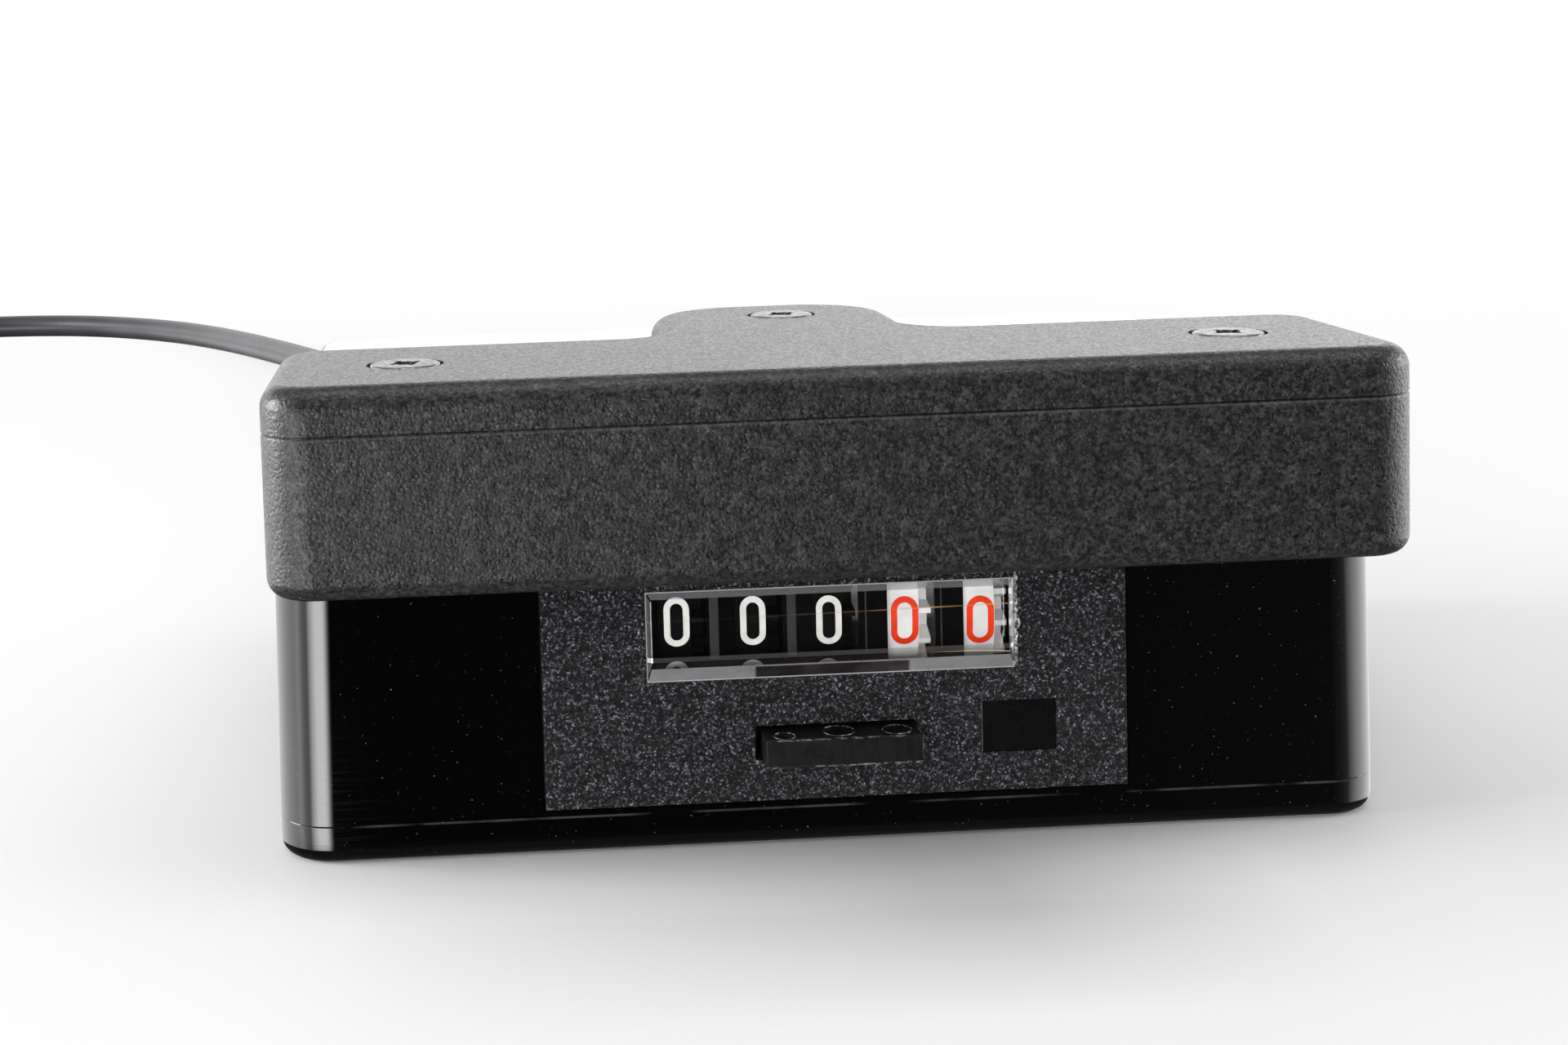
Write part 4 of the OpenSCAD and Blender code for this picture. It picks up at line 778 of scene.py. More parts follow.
class TRIPMETER_OT_lead(bpy.types.Operator):
    """Makes the lead with its coil, tie, end sleeve and three bare cores"""
    bl_idname = "tripmeter.lead"
    bl_label = "Lead"

    def execute(self, context):
        radius = sizes().lead / 2
        points_a_turn, coil_points = 24, 127
        coil = [coil_point(k / points_a_turn) for k in range(coil_points)]
        last = Vector(coil[-1])
        lying = 3.5
        tail = [last + Vector(step) for step in ((0, -6, 0), (0, -12, 0), (0, -20, -1.6), (0, -28, -3.6),
                                                 (0, -36, -5.6), (0, -44, -6.6))]
        tail += [Vector((last.x, last.y - step, lying)) for step in (52, 58)]
        lead = curve_piece("lead", LEAD_ROUTE + coil + [tuple(p) for p in tail], radius, 5, 4)
        lead.data.materials.append(lead_finish())
        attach(lead, "case")
        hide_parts("cable", "cable_coil", "cable_tail")

        paint(moulded_finish("tie_nylon", (0.014, 0.014, 0.015), 0.4, 0.03, 0.4), "cable_tie")
        tin = metal_finish("tinned_strands", (0.72, 0.71, 0.69), 0.32, (1, 0.1, 1), 0.15)
        goes_with = [self.sleeve(tail[-1]), NODES["cable_tie"]]
        for bend, tone, name in ((-1, (0.42, 0.02, 0.012), "red"), (0, (0.012, 0.012, 0.013), "black"),
                                 (1, (0.72, 0.70, 0.66), "white")):
            goes_with.append(self.core(tail[-1], bend, tone, name, tin))
        return {"FINISHED"}

    @staticmethod
    def sleeve(end):
        """The heat-shrunk sleeve over the jacket's end, drawn in at both ends"""
        sleeve = rod("lead_end_sleeve", (end.x, end.y - SLEEVE_LENGTH, end.z), 3.5, SLEEVE_LENGTH, "y")
        slice_across(sleeve, (0, 1, 0), [end.y - place for place in (1.0, 2.2, 4.5, 19.5, 21.8, 23.0)])
        for vertex in sleeve.data.vertices:
            along = end.y - vertex.co.y / MM
            near = min(along, SLEEVE_LENGTH - along)
            pull = 0.9 if near < 0.5 else 0.955 if near < 1.6 else 0.975 if 4 < near < 5 else 1.0
            vertex.co.x = end.x * MM + (vertex.co.x - end.x * MM) * pull
            vertex.co.z = end.z * MM + (vertex.co.z - end.z * MM) * pull
        shrunk = moulded_finish("shrunk_sleeve", (0.012, 0.012, 0.013), 0.38, 0.03, 0.8)
        return dress(sleeve, shrunk, "tie_plastic", "case", "lead_sleeve", angle=50)

    @staticmethod
    def core(end, bend, tone, name, tin):
        """A core in its sheath, with a bare tip: six strands round a thicker middle"""
        start = Vector((end.x + bend * 1.9, end.y - SLEEVE_LENGTH, end.z - 0.6))
        steps = [(0, 0.6, 0), (0, -3, 0), (bend * 1.2, -9, -0.9), (bend * 3.4, -16, -1.7),
                 (bend * 5.4, -23, -2), (bend * 6.6, -29, -2), (bend * 7, -34, -2)]
        sheath = moulded_finish("core_sheath_" + name, tone, 0.36, 0.02, 0.5)
        core = wires("core_sheath_" + name, [[tuple(start + Vector(s)) for s in steps]], 0.9, sheath,
                     smoothness=4)
        at = start + Vector((bend * 7, -40, -2))
        tip = rod("tip", tuple(at), 0.56, 6.2, "y", 20)
        round_edges(tip, 0.2, 2, FRONT_RIM)
        strands, around, sixth_turn = 6, 0.5, 1.047
        for turn in range(strands):
            angle = turn * sixth_turn
            place = (at.x + around * math.cos(angle), at.y + 0.15, at.z + around * math.sin(angle))
            tip = join(tip, rod("strand", place, 0.17, 5.9, "y", 8))
        tip.data.materials.append(tin)
        core = smooth(join(core, tip), 50, False)
        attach(core, "case")
        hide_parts("core_" + name)
        return core


def hood_screws():
    """Where the hood's three screws stand in plan; the tongue's is a little right of the middle"""
    low, high = node_box("lid_screws")
    head, tongue_x = 3.4, 0.6
    return [(low.x + head, low.y + head), (high.x - head, low.y + head), (tongue_x, high.y - head)]


class TRIPMETER_OT_case(bpy.types.Operator):
    """Makes the glossy case and the base plate it stands on"""
    bl_idname = "tripmeter.case"
    bl_label = "Case and base"

    def execute(self, context):
        low, high = node_box("case_shell")
        gloss = case_finish(look(), low.z)
        screws_low, screws_high = node_box("base_screws")
        head = 2.9
        corners = [(side * (screws_high.x - head), y) for side in (-1, 1)
                   for y in (screws_low.y + head, screws_high.y - head)]
        dress(self.shell(low, high, corners), gloss, "case_gloss", "case", "case_shell")
        dress(self.base(low.z, corners), gloss, "case_gloss", "case", "base_plate")
        paint(metal_finish("base_screw_zinc", (0.62, 0.62, 0.6), 0.3), "base_screws")
        return {"FINISHED"}

    @staticmethod
    def drafted(name, low, high, draft, size):
        """A block whose top is drawn in at both sides and at the back"""
        piece = block(name, low, high)
        select_faces(piece, facing(2, 1))
        bpy.ops.transform.resize(value=(1 - 2 * draft / size.x, 1 - draft / size.y, 1))
        bpy.ops.transform.translate(value=(0, -draft / 2 * MM, 0))
        leave_edit()
        return piece

    def shell(self, low, high, corners):
        """The hollow moulding with its screw bosses and openings"""
        s = sizes()
        size = high - low
        draft = math.tan(math.radians(1)) * size.z
        ceiling = high.z - WALL
        shell = self.drafted("case_moulding", low, high, draft, size)
        round_edges(shell, s.case_corner, 12, upright)
        round_edges(shell, s.case_top, 6, TOP_RIM)
        hollow = self.drafted("hollow", (low.x + WALL, low.y + WALL, low.z - 1),
                              (high.x - WALL, high.y - WALL, ceiling), draft, size)
        round_edges(hollow, s.case_corner - WALL, 8, upright)
        round_edges(hollow, 0.8, 3, TOP_RIM)
        carve(shell, hollow)

        heads = hood_screws()
        corner_boss, hood_boss, full_height = 3.4, 3.2, ceiling - low.z + 0.5
        carve(shell, *rods("boss", corners, low.z, corner_boss, full_height, sides=32), kind="UNION")
        carve(shell, *rods("boss", heads, ceiling - 4.6, hood_boss, 5.0, sides=32), kind="UNION")
        bezel_low, bezel_high = node_box("counter_bezel")
        sleeve_low, sleeve_high = node_box("counter_sleeve")
        gap = Vector((PASS_GAP, 0, PASS_GAP))
        rebate_low, rebate_high = bezel_low - gap, bezel_high + gap
        opening_low, opening_high = sleeve_low - gap, sleeve_high + gap
        rebate_low.y = opening_low.y = low.y - 1
        opening_high.y = low.y + WALL + 1
        carve(shell,
              block("rebate", rebate_low, rebate_high),
              block("opening", opening_low, opening_high),
              rod("exit", (LEAD_X, high.y - WALL - 3, LEAD_Z), 5.65, WALL + 5, "y"),
              rod("lamp_hole", (LAMP_X, low.y + LAMP_BACK, ceiling - 1), LAMP_RADIUS, WALL + 3),
              *rods("pilot", corners, low.z - 1, 1.55, 12, sides=24),
              *rods("pilot", heads, ceiling - 5.6, 1.8, 8, sides=24))
        return shell

    def base(self, seam, corners):
        """The plate below, with posts for the board and sunk holes for its screws"""
        s = sizes()
        low, high = node_box("base_plate")
        base = block("base_moulding", (low.x, low.y, 0), (high.x, high.y, seam))
        round_edges(base, s.case_corner, 12, upright)
        round_edges(base, s.foot_edge, 6, FOOT_RIM)
        round_edges(base, 0.18, 2, TOP_RIM)
        board_low, board_high = node_box("main_board")
        inset = 3.2
        posts = [(x, y) for x in (board_low.x + inset, board_high.x - inset)
                 for y in (board_low.y + inset, board_high.y - inset)]
        carve(base, *rods("post", posts, seam - 0.5, 2.5, board_low.z - seam + 0.5, sides=32), kind="UNION")
        carve(base, *rods("pilot", posts, seam, 1.15, 9, sides=24),
              *rods("hole", corners, -1, 1.65, 8, sides=24), *[self.countersink(x, y) for x, y in corners])
        return base

    @staticmethod
    def countersink(x, y):
        """The tool for a base screw's sunk head"""
        rim_radius, hole_radius, depth = 3.05, 1.6, 1.45
        tool = rod("sink", (x, y, -1), rim_radius, depth)
        select_faces(tool, facing(2, 1))
        bpy.ops.mesh.extrude_region_move(TRANSFORM_OT_translate={"value": (0, 0, depth * MM)})
        bpy.ops.transform.resize(value=(hole_radius / rim_radius, hole_radius / rim_radius, 1))
        leave_edit()
        return tool


def lamp_middle():
    """The middle of the lamps' diffuser, front to back"""
    low, high = node_box("lamp_diffuser")
    return (low.y + high.y) / 2


def hood_plan(name, low_z, high_z, inset):
    """The hood's T-shaped outline as a slab between two heights"""
    low, high = node_box("hood_lid")
    bar_back = low.y + 27
    middle, half = -0.4, 24.9 / 2
    tongue_corner, inner_corner = 9.5, 5.5
    bar = block(name, (low.x + inset, low.y + inset, low_z), (high.x - inset, bar_back - inset, high_z))
    tongue = block("tongue", (middle - half + inset, bar_back - 10, low_z),
                   (middle + half - inset, high.y - inset, high_z))
    carve(bar, tongue, kind="UNION")

    def upright_at(test):
        return lambda a, b, normals: abs(a.z - b.z) > 0.5 * (high_z - low_z) and test(a)
    round_edges(bar, sizes().hood_corner - inset, 10, upright_at(lambda p: abs(p.x) > 40))
    round_edges(bar, tongue_corner - inset, 16, upright_at(lambda p: abs(p.x) < 20 and p.y > high.y - 1))
    round_edges(bar, inner_corner + inset, 12,
                upright_at(lambda p: abs(p.x) < 20 and abs(p.y - bar_back + inset) < 0.3))
    return bar


class TRIPMETER_OT_hood(bpy.types.Operator):
    """Makes the hood's body and lid and its three plated screws"""
    bl_idname = "tripmeter.hood"
    bl_label = "Hood"

    def execute(self, context):
        low, high = node_box("hood_body")
        matte = hood_finish(look(), low.z, high.z)
        dress(self.body(low.z, high.z), matte, "hood_matte", "case", "hood_body")
        dress(self.lid(high.z), matte, "hood_matte", "case", "hood_lid")
        self.screws()
        return {"FINISHED"}

    @staticmethod
    def body(bottom, seam):
        """The front with its trough for the lamps, and the flange that lies on the case"""
        s = sizes()
        low, high = node_box("hood_lid")
        case_low, case_high = node_box("case_shell")
        bezel_low, bezel_high = node_box("counter_bezel")
        before_case = 0.15
        back = case_low.y - before_case
        body = block("hood_front", (low.x, low.y, bottom), (high.x, back, seam))
        round_edges(body, s.hood_corner, 12, lambda a, b, n: upright(a, b, n) and a.y < back - 1)
        round_edges(body, s.hood_edge, 6, FOOT_RIM)
        round_edges(body, 0.28, 3, TOP_RIM)
        carve(body, hood_plan("flange", case_high.z, seam, 0.1), kind="UNION")
        front_wall, back_wall, side_wall, shelf = 2.2, 1.9, 2.6, 4.6
        half, inner_back = (high.x - low.x) / 2 - side_wall, back - back_wall
        slot_half, slot_wide = 33, 3
        slot_front = lamp_middle() - slot_wide / 2
        lamp_y = case_low.y + LAMP_BACK
        carve(body,
              block("trough", (-half, low.y + front_wall, bottom + shelf), (half, inner_back, seam + 1)),
              block("slot", (-slot_half, slot_front, bottom - 1),
                    (slot_half, slot_front + slot_wide, bottom + 6)),
              block("relief", (bezel_low.x - 0.5, back - 0.5, bottom - 1),
                    (bezel_high.x + 0.5, back + 1, bezel_high.z + 0.5)),
              block("channel", (LAMP_X - 1, inner_back - 1, seam - CHANNEL),
                    (LAMP_X + 1, lamp_y, seam + 1)),
              rod("lamp_hole", (LAMP_X, lamp_y, case_high.z - 1), LAMP_RADIUS, 4),
              *rods("hole", hood_screws(), case_high.z - 1, 1.85, 4, sides=24))
        # A nib of stray plastic at the right end of the seam
        nib = rod("nib", (high.x - 0.4, low.y + 4.4, seam - 0.12), 0.24, 0.85, "x", 9, end_radius=0.05)
        return join(body, nib)

    @staticmethod
    def lid(seam):
        """The flat T-shaped cover with its three sunk holes"""
        heads, top = hood_screws(), node_box("hood_lid")[1].z
        lid = hood_plan("hood_cover", seam, top, 0)
        round_edges(lid, sizes().lid_edge, 8, TOP_RIM, clamp=False)
        round_edges(lid, 0.15, 2, FOOT_RIM, clamp=False)
        return carve(lid, *rods("hole", heads, seam - 1, 1.85, 8, sides=32),
                     *rods("cone", heads, top - 2.0, 1.9, 1.7, sides=64, end_radius=3.52),
                     *rods("sink", heads, top - 0.31, 3.52, 1, sides=64))

    def screws(self):
        """One screw and two copies of it, each with painted shade in its recess"""
        heads = hood_screws()
        top = node_box("hood_lid")[1].z + 0.1
        plating, painted_shade = screw_finish(), recess_finish()
        first = self.screw(heads[0], top)
        screws = [first]
        for x, y in heads[1:]:
            pick(first)
            bpy.ops.object.duplicate(linked=False)
            copy = bpy.context.object
            copy.location = Vector((x - heads[0][0], y - heads[0][1], 0)) * MM
            screws.append(settle(copy))
        for letter, head, screw in zip("abc", heads, screws):
            screw.name = screw.data.name = "hood_screw_" + letter
            dress(screw, plating, "plated_screws", "case")
            screw.data.materials.append(painted_shade)
            # Faces inside the recess get the painted shade
            for face in screw.data.polygons:
                off = face.center / MM - Vector((*head, top))
                if -1.8 < off.z < -0.03 and off.xy.length < 2.4:
                    face.material_index = 1
            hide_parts("lid_screws")

    @staticmethod
    def screw(at, top):
        """A countersunk screw with a cross recess"""
        x, y = at
        head_radius, shank_radius, recess_turn = 3.22, 1.75, 30
        head = rod("screw", (x, y, top - 0.5), head_radius, 0.5, sides=64)
        round_edges(head, 0.3, 4, TOP_RIM)
        cone = rod("cone", (x, y, top - 2.15), shank_radius, 1.65, sides=64, end_radius=head_radius)
        shank = rod("shank", (x, y, top - 12.4), shank_radius, 10.3, sides=32)
        carve(head, cone, shank, kind="UNION")
        tools = []
        for turn in (0, 90):
            slot = block("slot", (-2.05, -0.4, -1.5), (2.05, 0.4, 1))
            select_faces(slot, facing(2, -1))
            bpy.ops.transform.resize(value=(0.35, 0.5, 1))
            leave_edit()
            slot.rotation_euler = (0, 0, math.radians(recess_turn + turn))
            slot.location = Vector((x, y, top)) * MM
            tools.append(settle(slot))
        tools.append(rod("dimple", (x, y, top - 1.5), 0.35, 1.6, sides=24, end_radius=1.15))
        return carve(head, *tools)


# The dents in the button's top: place across, place back from its front, and radius
DENTS = ((-5.1, 1.25, 1.0), (-0.1, 2.1, 1.5), (5.1, 1.75, 1.35))
# The upright ribs between the wheels: place across and width
RIBS = ((-10.6, 0.85), (-3.5, 0.85), (3.32, 0.14), (10.25, 0.14))


class TRIPMETER_OT_counter_front(bpy.types.Operator):
    """Makes the counter's bezel, lens, mask ribs, lock blank and reset bar"""
    bl_idname = "tripmeter.counter_front"
    bl_label = "Counter front"

    def execute(self, context):
        low, high = node_box("counter_bezel")
        lens_low, lens_high = node_box("counter_lens")
        bar_low, bar_high = node_box("reset_bar")
        blank_low, blank_high = node_box("lock_blank")
        # Window, button and blank as left, right, bottom and top
        flange = 1.1
        window = (lens_low.x + flange, lens_high.x - flange, lens_low.z + flange, lens_high.z - flange)
        button = (-6.9, 7.1, bar_low.z, bar_high.z)
        blank = (blank_low.x + 0.7, blank_high.x - 0.7, blank_low.z + 0.6, blank_high.z - 0.6)

        self.bezel(low, high, window, button, blank)
        self.lens(low.y, high.y, lens_high.y, window, flange)
        plug = slab("lock_plug", blank, blank_low.y, high.y + 0.3)
        round_edges(plug, 0.12, 2, FRONT_RIM)
        around = (blank_low.x, blank_high.x, blank_low.z, blank_high.z)
        carve(plug, slab("flange", around, high.y, high.y + 0.5), kind="UNION")
        gloss = moulded_finish("lock_gloss", (0.003, 0.003, 0.0035), 0.25, 0.006, 1.2, 0.3)
        dress(plug, gloss, "black_plastic", "case", "lock_blank")
        self.torn_edge(low.y, window)
        self.ribs(window)
        self.reset_bar(bar_low, bar_high, button)
        return {"FINISHED"}

    @staticmethod
    def bezel(low, high, window, button, blank):
        """The frame with its three openings; the window's walls are plain black"""
        front, behind = low.y - 1, high.y + 1
        bezel = block("bezel_moulding", low, high)
        round_edges(bezel, 0.25, 3, FRONT_RIM)
        slot = (button[0] - 0.6, button[1] + 0.1, button[2] - 0.15, button[3] + 0.4)
        carve(bezel, slab("window", window, front, behind), slab("slot", slot, front, behind),
              slab("place", blank, front, behind, 0.02))
        dress(bezel, bezel_finish(look()), "bezel_matte", "case", "counter_bezel")
        wall_black = moulded_finish("opening_black", (0.002, 0.002, 0.0025), 0.6, 0.01, 0.6, 0.1)
        bezel.data.materials.append(wall_black)
        for wall in bezel.data.polygons:
            middle = wall.center / MM
            across = window[0] - 0.1 < middle.x < window[1] + 0.1
            up = window[2] - 0.1 < middle.z < window[3] + 0.1
            if across and up and abs(wall.normal.y) < 0.1 and middle.y > low.y + 0.3:
                wall.material_index = 1

    @staticmethod
    def lens(face, bezel_back, lens_back, window, flange):
        """The clear window: a front that slants back on all sides, and a flange behind the bezel"""
        gap, proud, sunk = 0.02, 0.25, 0.06
        front, base = face - proud, face + sunk
        lens = slab("lens_moulding", window, base, bezel_back, -gap)
        select_faces(lens, facing(1, -1))
        bpy.ops.mesh.extrude_region_move(TRANSFORM_OT_translate={"value": (0, (front - base) * MM, 0)})
        width, tall = window[1] - window[0] - 2 * gap, window[3] - window[2] - 2 * gap
        narrower, lower, raised = 0.96, 2.6, 0.575
        bpy.ops.transform.resize(value=((width - narrower) / width, 1, (tall - lower) / tall))
        bpy.ops.transform.translate(value=(0, 0, raised * MM))
        leave_edit()

        def slanted(a, b, normals):
            return max(a.y, b.y) < base + 0.1 and len(normals) == 2 and normals[0].angle(normals[1]) > 0.12
        round_edges(lens, 0.1, 2, slanted)
        carve(lens, slab("flange", window, bezel_back - 0.02, lens_back, flange), kind="UNION")
        edge = window[2] + 1.9
        dress(lens, lens_finish(front, edge), "lens_clear", "case", "counter_lens")
        lens.data.materials.append(frost_finish(window[3] - 0.1, edge))
        lens.data.materials.append(moulded_finish("lens_outline", grey(0.3), 0.3, 0.01, 0.3))
        for part in lens.data.polygons:
            middle, way = part.center / MM, part.normal
            if middle.y < base and way.y < -0.2 and abs(way.z) > 0.1 and part.area > 4 * MM * MM:
                part.material_index = 1
            elif base - 0.1 < middle.y < base + 0.12:
                part.material_index = 2

    @staticmethod
    def torn_edge(face, window):
        """A torn edge and a chip at the lens's right end"""
        right, bottom, top = window[1:]
        start, length, cuts = bottom + 0.2, top - bottom + 0.4, 24
        strip = slab("lens_torn_edge", (right - 0.05, right + 0.3, start, start + length),
                     face - 0.06, face + 0.3)
        slice_across(strip, (0, 0, 1), [start + length * k / cuts for k in range(1, cuts)])
        coarse, fine = 9100, 23300
        for vertex in strip.data.vertices:
            wave = math.sin(vertex.co.z * coarse) * 0.5 + math.sin(vertex.co.z * fine + 1) * 0.5
            if vertex.co.x > right * MM:
                vertex.co.x += (wave * 0.12 - 0.1) * MM
            else:
                vertex.co.y -= 0.05 * wave * MM
        middle = (bottom + top) / 2
        chip = rod("chip", (right - 0.1, face - 0.1, middle - 0.5), 0.3, 1.5, "z", 7, end_radius=0.16)
        select_faces(chip, lambda c, n: n.x > 0.5)
        bpy.ops.mesh.subdivide(number_cuts=2)
        leave_edit()
        for vertex in chip.data.vertices:
            if vertex.co.x > (right - 0.1) * MM:
                lean = 1 - abs(vertex.co.z / MM - middle - 0.1) / 0.8
                vertex.co.x += max(0, lean) * 0.45 * MM
        dress(join(strip, chip), chip_finish(), "lens_clear", "case", angle=20, weighted=False)

    @staticmethod
    def ribs(window):
        """Upright ribs of the mask, between the wheels"""
        low, high = node_box("digit_mask")
        ribs = []
        for x, wide in RIBS:
            rib = block("mask_ribs", (x - wide / 2, low.y - 0.06, window[2] + 1.2),
                        (x + wide / 2, high.y + 0.25, window[3] - 1.3))
            round_edges(rib, 0.05, 2, FRONT_RIM)
            ribs.append(rib)
        rib_grey = moulded_finish("rib_grey", (0.036, 0.036, 0.038), 0.42, 0.01, 0.6, 0.3)
        dress(join(*ribs), rib_grey, "black_plastic", "case")
        paint(moulded_finish("mask_black", (0.0025, 0.0025, 0.003), 0.6, 0.01, 0.6, 0.1), "digit_mask")

    @staticmethod
    def reset_bar(low, high, button):
        """The button, its yoke behind the bezel and an arm each side of the wheels"""
        top = button[3]
        yoke_thick = 2.1
        front = node_box("digit_mask")[0].y + 0.1
        back = front + yoke_thick
        bar = block("reset_button", (button[0], low.y, button[2]), (button[1], front + 0.2, top))
        round_edges(bar, 0.16, 3, FRONT_RIM)
        round_edges(bar, 0.1, 2, lambda a, b, n: abs(a.y - b.y) > 2)
        carve(bar, *[rod("dimple", (x, low.y + y, top - 0.3), r * 0.55, 0.62, end_radius=r * 1.35)
                     for x, y, r in DENTS])
        burrs = []
        for x, y, r in DENTS:
            deselect()
            bpy.ops.mesh.primitive_torus_add(location=Vector((x, low.y + y, top + 0.01)) * MM,
                                             major_radius=r * 0.95 * MM, minor_radius=0.05 * MM,
                                             major_segments=48, minor_segments=8)
            burrs.append(settle(bpy.context.object))
        arm_in, arm_out, nose = 18.2, 19.7, 1.2
        parts = [block("yoke", (low.x, front, low.z), (high.x, back, high.z))]
        for side in (-1, 1):
            a, b = sorted((side * arm_in, side * arm_out))
            parts.append(block("arm", (a, back - 0.1, low.z), (b, high.y - 2.5, high.z)))
            parts.append(block("nose", (a, back - 0.1, low.z), (b, high.y, low.z + nose)))
        carve(bar, *parts, kind="UNION")
        dress(bar, button_finish(low.y, button[2], top), "button_matte", "reset_bar", "reset_bar")
        burrs = join(*burrs)
        burrs.name = "button_burrs"
        dress(burrs, burr_finish(), "button_matte", "reset_bar")


# Figures, as strokes round their own middle


def arc(x, y, rx, ry, first, last, steps=14):
    """Points on an arc, with angles in degrees"""
    return [(x + rx * math.cos(math.radians(first + (last - first) * k / steps)),
             y + ry * math.sin(math.radians(first + (last - first) * k / steps))) for k in range(steps + 1)]


def figure_strokes(figure, w, h):
    """The middle lines of a figure's strokes; a line that ends where it starts is closed"""
    low, high = 0.53 * h, 0.47 * h
    if figure == 0:
        return [arc(0, h - w, w, w, 0, 180) + arc(0, w - h, w, w, 180, 360) + [(w, h - w)]]
    if figure == 1:
        return [[(-0.55 * w, h - 0.7), (0.15 * w, h), (0.15 * w, -h)]]
    if figure == 2:
        return [arc(0, h - w, w, w, 170, -35) + [(-w, -h), (w, -h)]]
    if figure == 3:
        return [arc(0, h - high, w * 0.92, high, 155, -90), arc(0, low - h, w, low, 90, -155)]
    if figure == 4:
        return [[(0.45 * w, -h), (0.45 * w, h), (-w, -0.38 * h), (1.1 * w, -0.38 * h)]]
    if figure == 5:
        return [[(0.85 * w, h), (-0.8 * w, h), (-0.9 * w, 0.05 * h)] + arc(0, 1.1 - h, w, 1.1, 125, -155)]
    if figure in (6, 9):
        bowl = arc(0, low - h, w, low, 0, 360, 24)
        stem = [(-w, -0.45 * h)] + arc(0, h - w, w, w, 180, 35)
        turn = 1 if figure == 6 else -1
        return [[(x * turn, y * turn) for x, y in line] for line in (bowl, stem)]
    if figure == 7:
        return [[(-w, h), (w, h), (-0.25 * w, -h)]]
    return [arc(0, h - high, w * 0.88, high, 0, 360, 24), arc(0, low - h, w, low, 0, 360, 24)]


def even_points(points, closed, step=0.35):
    """A line's points with more put between them, at least a step apart"""
    fine = []
    ends = points[1:] + points[:1] if closed else points[1:]
    for a, b in zip(points, ends):
        pieces = max(1, int((b - a).length / step))
        fine += [a.lerp(b, k / pieces) for k in range(pieces)]
    return fine if closed else fine + [points[-1]]


def add_figure(mesh, figure, narrow, x, angle, axis_y, axis_z, radius):
    """Lays a figure's strokes as flat ribbons on a wheel's rim"""
    s = sizes()
    half = s.stroke / 2
    same = 1e-6
    w, h = s.figure_width * narrow / 2 - half, s.figure_height / 2 - half
    for line in figure_strokes(figure, w, h):
        points = [Vector(p) for p in line]
        closed = (points[0] - points[-1]).length < same
        fine = even_points(points[:-1] if closed else points, closed)
        count = len(fine)
        rows = []
        for k, p in enumerate(fine):
            before = fine[(k - 1) % count] if closed or k else p
            after = fine[(k + 1) % count] if closed or k < count - 1 else p
            into, out = p - before, after - p
            one = into.normalized() if into.length > same else out.normalized()
            two = out.normalized() if out.length > same else one
            mid = (one + two).normalized()
            side = Vector((-mid.y, mid.x)) * half / max(0.55, mid.dot(one))
            row = []
            for q in (p - side, p + side):
                turn = math.radians(angle) + q.y / radius
                row.append(mesh.verts.new(Vector((x + q.x, axis_y - radius * math.cos(turn),
                                                  axis_z + radius * math.sin(turn))) * MM))
            rows.append(row)
        for k in range(count if closed else count - 1):
            a, b = rows[k], rows[(k + 1) % count]
            mesh.faces.new((a[0], b[0], b[1], a[1]))


# The wheels from the left, each with the degrees that it is turned from its figure
WHEELS = (("hundreds", 1.85), ("tens", 0.8), ("units", -0.6), ("tenths", -2.7), ("hundredths", -4.1))


class TRIPMETER_OT_wheels(bpy.types.Operator):
    """Gives the five number wheels their finish and their figures"""
    bl_idname = "tripmeter.wheels"
    bl_label = "Number wheels"

    def execute(self, context):
        black = moulded_finish("wheel_black", (0.0035, 0.0035, 0.004), 0.45, 0.01, 0.6, 0.12)
        white = moulded_finish("wheel_white", (0.9, 0.9, 0.89), 0.4, 0.01, 0.6)
        pale = moulded_finish("whole_figure_ink", tuple(look().whole_figures), 0.5, 0.004, 0.3)
        red = moulded_finish("part_figure_ink", tuple(look().part_figures), 0.45, 0.004, 0.3)
        low, high = node_box("wheel_units")
        axis_y, axis_z, radius = (low.y + high.y) / 2, (low.z + high.z) / 2, (high.z - low.z) / 2
        pitch, ink, thick = 7, 0.035, 0.06
        for k, (name, turned) in enumerate(WHEELS):
            node = "wheel_" + name
            wheel, figures, slot_name, narrow = ((black, pale, "wheel_white", 0.92) if k < 3
                                                 else (white, red, "red_wire", 1.0))
            paint(wheel, node)
            mesh = bmesh.new()
            for figure in range(10):
                add_figure(mesh, figure, narrow, 0.08 + (k - 2) * pitch, 36 * figure + turned,
                           axis_y, axis_z, radius + ink)
            bmesh.ops.recalc_face_normals(mesh, faces=mesh.faces)
            mesh.normal_update()
            for face in mesh.faces:
                middle = face.calc_center_median() / MM
                if face.normal.dot(Vector((0, middle.y - axis_y, middle.z - axis_z))) < 0:
                    face.normal_flip()
            data = bpy.data.meshes.new("figures_" + name)
            mesh.to_mesh(data)
            mesh.free()
            piece = bpy.data.objects.new("figures_" + name, data)
            context.collection.objects.link(piece)
            add_modifier(piece, "SOLIDIFY", thickness=thick * MM, offset=-1, use_rim=True)
            dress(piece, figures, slot_name, node, angle=40, weighted=False)
        return {"FINISHED"}


